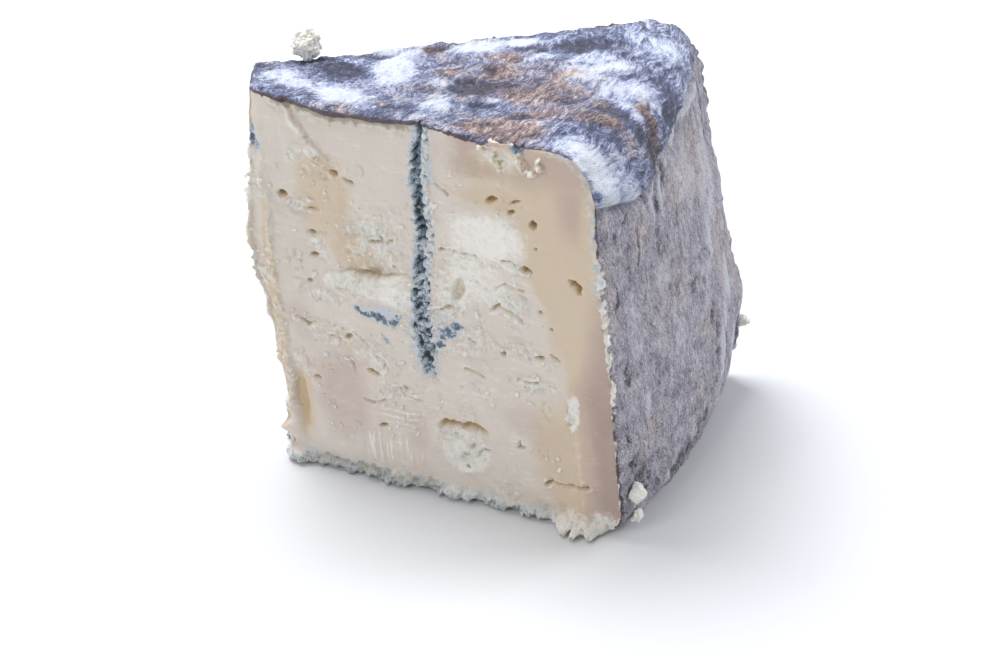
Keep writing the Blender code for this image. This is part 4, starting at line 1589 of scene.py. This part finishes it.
@dataclass(frozen=True)
class RindFinish:
    """Natural rind: white and lilac felt, ochre smear, dark damp patches, grey fibre down the side."""

    cut_edge: Colour = (0.135, 0.088, 0.095)

    def top(self, graph: Graph, maps: tuple, grain: Socket, place: Socket) -> tuple[Socket, Socket]:
        """The mottled colour of the top, and how high its fine relief stands.

        Args:
            graph: The material.
            maps: The growths.
            grain: Coordinates along the wrinkles.
            place: The point, in millimetres.

        Returns:
            The colour and the relief.
        """
        pale, ochre, dusk, _ = maps
        cool = graph.attribute("cool")
        streak = graph.noise(grain, 1.0, 6.0, 0.68)
        fleck = graph.noise(grain, 3.1, 4.0, 0.7)
        mottle = graph.noise(place, 0.30, 6.0, 0.72)
        fine = graph.noise(place, 1.5, 4.0, 0.75)
        patches = graph.noise(place, 0.085, 3.0, 0.6)
        rough = (streak - 0.5) * 1.0 + (mottle - 0.5) * 0.70 + (fleck - 0.5) * 0.95 + (fine - 0.5) * 0.75
        level = rough * (1 - pale * 0.30) + 0.450 + (patches - 0.5) * 0.36 + pale * 0.32 - dusk * 0.23
        warmth = ochre * 1.10 - cool * 0.65 - pale * 0.40 + (patches - 0.5) * 2.0 + (mottle - 0.5) * 1.6
        warm = (warmth + (fleck - 0.5) * 1.6).rising(-0.15, 0.90)
        colour = graph.mix(warm, graph.ramp(level, COOL_TOP), graph.ramp(level, WARM_TOP))
        return colour, rough

    def side(self, graph: Graph, maps: tuple, fibre: Socket, place: Socket) -> tuple[Socket, Socket]:
        """The felted colour of the side, and how high its fibres stand.

        Args:
            graph: The material.
            maps: The growths.
            fibre: Coordinates along the fibres.
            place: The point, in millimetres.

        Returns:
            The colour and the relief.
        """
        pale, ochre, dusk, _ = maps
        strands = graph.noise(fibre, 1.0, 6.0, 0.72)
        crossing = graph.node("Mapping", {}, {"Vector": fibre, "Rotation": (0.0, 0.0, 0.09)})
        threads = graph.noise(crossing, 2.3, 3.0, 0.6)
        lines = 1 - ((threads - 0.5) * 9).size().at_most(1.0)
        clouds = graph.noise(place, 0.16, 5.0, 0.65)
        fine = graph.noise(place, 1.9, 4.0, 0.75)
        pits = fine.rising(0.41, 0.27)
        rough = (strands - 0.5) * 1.25 + (fine - 0.5) * 0.85 + lines * 0.24 - pits * 0.26
        level = rough + 0.430 + (clouds - 0.5) * 0.65 + pale * 0.36 - dusk * 0.36
        warm = (ochre * 0.8 + (clouds - 0.5) * 1.2 + (strands - 0.5) * 0.8).rising(-0.08, 0.55)
        colour = graph.mix(warm * 0.8, graph.ramp(level, COOL_SIDE), graph.ramp(level, WARM_SIDE))
        return colour, rough

    def shader(self, graph: Graph) -> Socket:
        """The rind's surface."""
        maps = graph.channels("rind_map")
        place = graph.place()
        bend = graph.noise(place, 0.22, 3.0)
        flow = graph.attribute("flow", "Vector")
        sway = graph.node("CombineXYZ", {}, {0: (bend - 0.5) * 7, 1: (bend - 0.5) * 9, 2: 0.0})
        swayed = graph.node("VectorMath", {"operation": "ADD"}, {0: flow, 1: sway})
        wave = graph.noise(place, 0.11, 2.0)
        drift = graph.node("CombineXYZ", {}, {0: 0.0, 1: (wave - 0.5) * 5, 2: 0.0})
        drifted = graph.node("VectorMath", {"operation": "ADD"}, {0: flow, 1: drift})
        grain = graph.node("Mapping", {}, {"Vector": drifted, "Scale": (0.10, 0.55, 0.0)})
        fibre = graph.node("Mapping", {}, {"Vector": swayed, "Scale": (1.05, 0.22, 0.0)})
        flank = maps[3].rising(0.35, 0.65)
        top, ropes = self.top(graph, maps, grain, place)
        side, hairs = self.side(graph, maps, fibre, place)
        colour = graph.mix(flank, top, side)
        depth = graph.attribute("depth")
        colour = graph.mix(depth.rising(0.15, 0.55) * 0.85, colour, self.cut_edge)
        run = graph.node("Mix", {"data_type": "FLOAT"}, {"Factor": flank, 2: ropes, 3: hairs}, output=0)
        bump = graph.node("Bump", {}, {"Strength": 0.9, "Distance": 0.0011, "Height": run})
        values = {
            "Base Color": colour,
            "Roughness": 0.80 - maps[2] * 0.25,
            "Normal": bump,
            "Specular IOR Level": 0.32,
            "Sheen Weight": 0.20,
            "Sheen Roughness": 0.5,
        }
        return graph.node("BsdfPrincipled", {}, values)


def cheese_material() -> bpy.types.Material:
    """Paste and rind, told apart by how deep under the rind the surface is."""
    graph = Graph("cheese")
    paste, rind = PasteFinish().shader(graph), RindFinish().shader(graph)
    ragged = graph.noise(graph.place(), 0.9, 4.0, 0.7)
    cover = (graph.attribute("rind") + (ragged - 0.5) * 0.5).rising(0.42, 0.62)
    return graph.finish(graph.node("MixShader", {}, {0: cover, 1: paste, 2: rind}))


def crumb_material() -> bpy.types.Material:
    """Loose paste, dry and broken all over."""
    graph = Graph("crumb")
    return graph.finish(PasteFinish().shader(graph))


# --- The pieces ---


@dataclass
class Wedge:
    """The wedge of cheese: rind and paste, in one closed surface."""

    name: str = "wedge_rind_and_paste"
    voxel: float = 0.50
    most_triangles: int = 196_000
    blend_width: float = 0.9
    rind_thickness: float = 1.05
    coarser_when_quick: float = 2.2
    foot_share: float = 0.04
    back_share: float = 0.34
    edge_line: Line = (
        (0, 1.3), (6, 1.6), (12.5, 0.5), (19, -0.6), (26, -1.4), (33, -0.8), (43, -0.2), (55, 0.8),
        (62, -0.5), (72, -1.9), (82, -1.7), (96, -1), (101, -0.4), (106, 0),
    )
    rind_line: Line = (
        (0, 1.3), (8, 2.1), (48, 2.2), (58, 0.9), (70, 1.3), (92, 0.9), (104, 0.4),
    )
    cuts: dict[Face, CutFace] = field(
        default_factory=lambda: {Face.FRONT: front_face(), Face.BACK: back_face(), Face.TIP: tip_face()}
    )
    rind: Rind = field(default_factory=Rind)

    def build(self) -> bpy.types.Object:
        """Make the wedge.

        Returns:
            The finished piece.
        """
        piece = copied_solid("cheese_wedge", self.name)
        self.soften(piece)
        around = Surroundings(piece)
        voxel = self.voxel * 1.0
        modify(piece, "REMESH", mode="VOXEL", voxel_size=voxel * MM, adaptivity=0.0)
        self.sculpt(piece, around)
        self.thin(piece)
        piece.data.materials.append(cheese_material())
        piece.data.shade_smooth()
        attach(piece, "root")
        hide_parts("cheese_wedge")
        return piece

    def soften(self, piece: bpy.types.Object) -> None:
        """Round the solid's facets away and keep its knife edges."""
        activate(piece)
        bpy.ops.object.mode_set(mode="EDIT")
        bpy.ops.mesh.select_mode(type="EDGE")
        bpy.ops.mesh.select_all(action="DESELECT")
        bpy.ops.mesh.edges_select_sharp(sharpness=math.radians(40))
        bpy.ops.transform.edge_crease(value=0.85)
        bpy.ops.object.mode_set(mode="OBJECT")
        modify(piece, "SUBSURF", levels=2, render_levels=2)

    def sculpt(self, piece: bpy.types.Object, around: Surroundings) -> None:
        """Move every vertex to its relief, and keep the maps that the material reads.

        Args:
            piece: The finely meshed wedge.
            around: Tells the faces apart.
        """
        mesh = piece.data
        points, normals = points_of(mesh), normals_of(mesh)
        reaches = {Face.RIND: 26.0, Face.FRONT: 26.0, Face.BACK: 4.0, Face.TIP: 12.0}
        gaps = {face: around.distances(face, points, reach) for face, reach in reaches.items()}
        depth = gaps[Face.RIND]
        moved = points + self.slump(points, gaps)
        paste, tones = np.zeros((len(points), 4)), np.zeros((len(points), 4))
        for face, cut in self.cuts.items():
            near = np.flatnonzero(gaps[face] < self.blend_width)
            maps = cut.surface(points[near], depth[near])
            share = fall_between(0.15, self.blend_width, gaps[face][near])
            moved[near] += (share * maps.height)[:, None] * LAYOUT.outward(face)
            values = np.stack([maps.crumbly, maps.blue, maps.hollow], 1)
            paste[near, :3] = np.maximum(paste[near, :3], share[:, None] * values)
            values = np.stack([maps.cream, maps.rosy, maps.olive, maps.white], 1)
            tones[near] = np.maximum(tones[near], share[:, None] * values)
        # The fourth channel carries the foot's grey and its painted shade.
        paste[:, 3] = self.foot_tint(points)
        self.grow_rind(mesh, points, normals, gaps, moved)
        self.chip(points, normals, gaps, moved)
        moved[:, 2] = np.clip(moved[:, 2], 0.0, None)
        set_points(mesh, moved)
        store(mesh, "paste_map", np.clip(paste, 0, 1))
        store(mesh, "paste_tone", np.clip(tones, 0, 1))
        store(mesh, "depth", depth)

    def slump(self, points: Array, gaps: dict) -> Array:
        """The broad ways in which the wedge strays from its plain solid.

        The top edge of the front cut waves, the rind swells past the near corner, and the tip bulges.
        """
        shift = np.zeros((len(points), 3))
        run = LAYOUT.run(Face.FRONT, points)
        waves = followed(run, *self.edge_line)
        upper = rise_between(100, 128, points[:, 2])
        shift[:, 2] = waves * upper * np.exp(-gaps[Face.FRONT] / 11.0)
        way_round, _, _ = LAYOUT.round_rind(points)
        middle = rise_between(18, 60, points[:, 2]) * fall_between(116, 128, points[:, 2])
        swell = 2.4 * bell(way_round, 0, 16) * middle * np.exp(-gaps[Face.RIND] / 9.0)
        shift += swell[:, None] * LAYOUT.along(Face.FRONT)
        bulge = 2.4 * bell(points[:, 2], 88, 34) * np.exp(-gaps[Face.TIP] / 7.0)
        corner = np.exp(-gaps[Face.FRONT] / 3.5 - gaps[Face.TIP] / 2.5)
        horn = 3.2 * bell(points[:, 2], 11.5, 2) - 1.4 * bell(points[:, 2], 6.8, 1.8)
        shift += (bulge + horn * corner)[:, None] * LAYOUT.outward(Face.TIP)
        return shift

    def foot_tint(self, points: Array) -> Array:
        """How grey the foot is: partly the pressed crumbs' own grey, partly painted blue-grey shade low on
        the cut.
        """
        ragged = self.rind.noise.fractal(points + 80, 5, 3)
        run = LAYOUT.run(Face.FRONT, points)
        pressed = fall_between(0.5, 9.5, points[:, 2] + 4.5 * ragged)
        # A grey band up to about 19 mm on the left half: painted shade.
        low_band_shade = 0.42 * fall_between(8, 19, points[:, 2] + 5.0 * ragged)
        low_band_shade = low_band_shade * fall_between(50, 70, run)
        return np.maximum(pressed, low_band_shade) * (1 - 0.85 * rise_between(90, 98, run))

    def grow_rind(
        self, mesh: bpy.types.Mesh, points: Array, normals: Array, gaps: dict, moved: Array
    ) -> None:
        """Raise the rind's relief and keep its maps.

        Args:
            mesh: The mesh that keeps the maps.
            points: The vertices.
            normals: Their normals.
            gaps: How far each one is from each kind of face.
            moved: Their new places, which this changes.
        """
        depth = gaps[Face.RIND]
        near = np.flatnonzero(depth < 4.0)
        to_cuts = np.minimum.reduce([gaps[Face.FRONT], gaps[Face.BACK], gaps[Face.TIP]])
        maps = self.rind.surface(points[near], to_cuts[near])
        share = fall_between(0.15, self.blend_width, depth[near])
        moved[near] += (share * maps.height)[:, None] * normals[near]
        growth = np.zeros((len(points), 4))
        growth[near] = np.stack([maps.pale, maps.ochre, maps.dusk, maps.flank], 1)
        store(mesh, "rind_map", np.clip(growth, 0, 1))
        cool = np.zeros(len(points))
        cool[near] = np.clip(maps.cool, 0, 1)
        store(mesh, "cool", cool)
        way_round, way_out, _ = LAYOUT.round_rind(points)
        warp = 3.0 * self.rind.noise.fractal(points + 30, 9, 3)
        store(mesh, "flow", np.stack([way_round, way_out + warp, points[:, 2]], 1))
        run = LAYOUT.run(Face.FRONT, points)
        thick = followed(run, *self.rind_line)
        at_front = np.exp(-gaps[Face.FRONT]) * rise_between(110, 120, points[:, 2])
        thick = self.rind_thickness + (thick - self.rind_thickness) * at_front
        thickness = thick * (1 + 0.6 * self.rind.noise.fractal(points + 5, 5, 4, 0.6))
        cover = fall_between(-0.5, 0.5, depth - thickness)
        store(mesh, "rind", cover * self.bare(points, gaps))

    def bare(self, points: Array, gaps: dict) -> Array:
        """1 where the rind is whole, and 0 where it tore off with the paste.

        Args:
            points: The vertices.
            gaps: How far each one is from each kind of face.

        Returns:
            The share of rind at each one.
        """
        run = LAYOUT.run(Face.FRONT, points)
        ragged = self.rind.noise.fractal(points + 16, 3, 4, 0.6)
        torn = Spot(80.5, 126, 9.6, 8).nearness(run, points[:, 2]) + 0.45 * ragged
        close = fall_between(1, 2.4, gaps[Face.FRONT])
        whole = 1 - close * fall_between(0.85, 1.05, torn)
        way_round, _, radius = LAYOUT.round_rind(points)
        broad = self.rind.noise.fractal(points + 28, 9, 2)
        crumbs = rise_between(-0.8, 0.6, way_round + 2.4 * ragged + 1.6 * broad)
        corner = rise_between(136, 141, radius) * fall_between(84, 112, points[:, 2] + 9 * ragged)
        foot = np.exp(-gaps[Face.FRONT] / 1.5) * fall_between(1.5, 3.5, points[:, 2])
        return whole * (1 - corner * (1 - crumbs)) * (1 - foot)

    def chip(self, points: Array, normals: Array, gaps: dict, moved: Array) -> None:
        """Nibble the knife edges, where two kinds of face meet.

        Args:
            points: The vertices.
            normals: Their normals.
            gaps: How far each one is from each kind of face.
            moved: Their new places, which this changes.
        """
        order = np.sort(np.stack(list(gaps.values()), 1), axis=1)
        near = bell(order[:, 1], 0, 1.5)
        bites = np.clip(self.rind.noise.fractal(points + 44, 4, 4, 0.6), -0.3, None)
        top = rise_between(122, 130, points[:, 2])
        tip = np.exp(-gaps[Face.TIP] / 3.0)
        amount = near * (0.15 + 2.2 * bites) * (1 - 0.5 * top) * (1 - 0.55 * tip)
        moved -= amount[:, None] * normals

    def thin(self, piece: bpy.types.Object) -> None:
        """Take triangles away, most of them where the surface is plain or turned away."""
        activate(piece)
        for share, wanted in ((self.foot_share, self.is_foot), (self.back_share, self.is_back)):
            bpy.ops.object.mode_set(mode="EDIT")
            bpy.ops.mesh.select_mode(type="FACE")
            bpy.ops.mesh.select_all(action="DESELECT")
            bpy.ops.object.mode_set(mode="OBJECT")
            for polygon in piece.data.polygons:
                polygon.select = wanted(polygon)
            bpy.ops.object.mode_set(mode="EDIT")
            bpy.ops.mesh.decimate(ratio=share)
            bpy.ops.object.mode_set(mode="OBJECT")
        count = sum(len(polygon.vertices) - 2 for polygon in piece.data.polygons)
        log.info("%s: %d triangles before thinning", piece.name, count)
        if count > self.most_triangles:
            modify(piece, "DECIMATE", ratio=self.most_triangles / count, use_collapse_triangulate=True)

    @staticmethod
    def is_foot(polygon: bpy.types.MeshPolygon) -> bool:
        """Whether a face lies flat on the board."""
        return polygon.normal.z < -0.9 and polygon.center.z < 0.3 * MM

    @staticmethod
    def is_back(polygon: bpy.types.MeshPolygon) -> bool:
        """Whether a face lies on the back cut."""
        return float(LAYOUT.outward(Face.BACK) @ np.array(polygon.normal)) > 0.6 and polygon.center.y > 0


@dataclass
class Crumb:
    """A crumb of paste, in place of one CAD node."""

    node: str
    seed: int
    voxel: float = 0.22
    relief: float = 0.5
    grain: float = 1.3
    dark_base: float = 0.0

    def build(self, material: bpy.types.Material) -> bpy.types.Object:
        """Make the crumb.

        Args:
            material: Its finish.

        Returns:
            The finished piece.
        """
        piece = copied_solid(self.node, self.node + "_paste")
        modify(piece, "REMESH", mode="VOXEL", voxel_size=self.voxel * MM, adaptivity=0.0)
        mesh, noise = piece.data, Noise(self.seed)
        points, normals = points_of(mesh), normals_of(mesh)
        lumps = 1.5 * self.relief * noise.fractal(points, 3.0 * self.grain, 3, 0.6)
        creases = 1.6 * self.relief * (noise.ridged(points, 1.9 * self.grain, 3) - 0.72)
        set_points(mesh, points + (lumps - creases)[:, None] * normals)
        count = len(points)
        # The crumb's creases darkened: painted shade.
        hollow = 0.35 * rise_between(0, 0.6, creases / self.relief)
        low = fall_between(0, 2.4, points[:, 2] - points[:, 2].min())
        specks = 0.5 * rise_between(0.45, 0.7, noise.fractal(points + 9, 2.4, 3))
        # The crumb's underside darkened with mould and recess colours: painted shade under the crumb.
        blue = np.clip(self.dark_base * low + specks, 0, 1)
        paste = np.stack([np.full(count, 0.75), blue, np.maximum(hollow, self.dark_base * low), low * 0], 1)
        store(mesh, "paste_map", paste)
        store(mesh, "paste_tone", np.stack([low * 0, low * 0, low * 0, np.full(count, 0.9)], 1))
        mesh.materials.append(material)
        mesh.shade_smooth()
        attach(piece, "root")
        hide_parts(self.node)
        return piece


CRUMBS = (
    Crumb("crumb_top", 5, voxel=0.2, relief=1.1, grain=1.1, dark_base=0.9),
    Crumb("crumb_side", 6, voxel=0.15, relief=0.35, grain=0.8),
    Crumb("crumb_corner_upper", 7, voxel=0.16, relief=0.45, grain=0.9),
    Crumb("crumb_corner_lower", 8, voxel=0.15, relief=0.35, grain=0.8),
)


# --- The stage ---


@dataclass(frozen=True)
class Lamp:
    """A square soft lamp, in metres and watts, that looks at the middle of the cheese."""

    name: str
    place: tuple[float, float, float]
    power: float
    colour: Colour
    size: float = 0.9
    aim: tuple[float, float, float] = (0.0, 0.0, 0.06)

    def hang(self) -> None:
        """Add the lamp to the scene."""
        data = bpy.data.lights.new(self.name, "AREA")
        data.shape, data.size, data.energy, data.color = "SQUARE", self.size, self.power, self.colour
        lamp = bpy.data.objects.new(self.name, data)
        lamp.location = self.place
        look = Vector(self.aim) - Vector(self.place)
        lamp.rotation_euler = look.to_track_quat("-Z", "Y").to_euler()
        bpy.context.scene.collection.objects.link(lamp)


@dataclass
class Stage:
    """A pale floor, soft light and the camera."""

    aim: tuple[float, float, float] = (-12.6, 64.7, 0.0)
    azimuth: float = math.radians(10.3)
    elevation: float = math.radians(32.61)
    roll: float = math.radians(-3.21)
    distance: float = 961.6
    lens: float = 100.0
    sensor: float = 36.0
    floor_size: float = 8.0
    floor_drop: float = 0.0004
    floor_colour: Colour = (0.70, 0.705, 0.72)
    sky_colour: Colour = (0.95, 0.97, 1.0)
    sky_strength: float = 0.36
    lamps: tuple[Lamp, ...] = (
        Lamp("window", (-0.45, 0.42, 1.50), 30.0, (0.93, 0.96, 1.0)),
        Lamp("far_side", (1.35, 0.70, 0.80), 17.0, (0.93, 0.95, 1.0)),
        Lamp("front_fill", (-0.75, -1.15, 1.15), 8.4, (1.0, 0.985, 0.96)),
    )

    def camera(self) -> None:
        """Set the camera up."""
        data = bpy.data.cameras.new("camera")
        data.lens, data.sensor_width = self.lens, self.sensor
        data.clip_start, data.clip_end = 0.01, 20.0
        camera = bpy.data.objects.new("camera", data)
        bpy.context.scene.collection.objects.link(camera)
        level, up = math.cos(self.elevation), math.sin(self.elevation)
        back = Vector((math.sin(self.azimuth) * level, -math.cos(self.azimuth) * level, up))
        right = Vector((math.cos(self.azimuth), math.sin(self.azimuth), 0.0))
        over = back.cross(right)
        tilted = right * math.cos(self.roll) + over * math.sin(self.roll)
        above = over * math.cos(self.roll) - right * math.sin(self.roll)
        place = (Vector(self.aim) + back * self.distance) * MM
        turn = Matrix((tilted, above, back)).transposed().to_4x4()
        camera.matrix_world = Matrix.Translation(place) @ turn
        bpy.context.scene.camera = camera

    def floor(self) -> None:
        """Lay the floor."""
        deselect()
        bpy.ops.mesh.primitive_plane_add(size=self.floor_size, location=(0.0, 0.0, -self.floor_drop))
        floor = bpy.context.object
        floor.name = "floor"
        graph = Graph("pale_floor")
        values = {"Base Color": self.floor_colour, "Roughness": 0.75, "Specular IOR Level": 0.2}
        floor.data.materials.append(graph.finish(graph.node("BsdfPrincipled", {}, values)))

    def build(self) -> None:
        """Set the whole stage."""
        self.camera()
        self.floor()
        for lamp in self.lamps:
            lamp.hang()
        world = bpy.data.worlds.new("studio")
        world.use_nodes = True
        sky = world.node_tree.nodes["Background"].inputs
        sky["Color"].default_value = (*self.sky_colour, 1.0)
        sky["Strength"].default_value = self.sky_strength
        bpy.context.scene.world = world
        bpy.context.scene.view_settings.view_transform = "Standard"


def main() -> None:
    """Build every piece and the stage."""
    logging.basicConfig(level=logging.INFO, format="%(name)s: %(message)s")
    Stage().build()
    pieces = [Wedge().build()]
    material = crumb_material()
    pieces += [crumb.build(material) for crumb in CRUMBS]
    for piece in pieces:
        log.info("%s: %d faces", piece.name, len(piece.data.polygons))


if __name__ == "__main__":
    main()
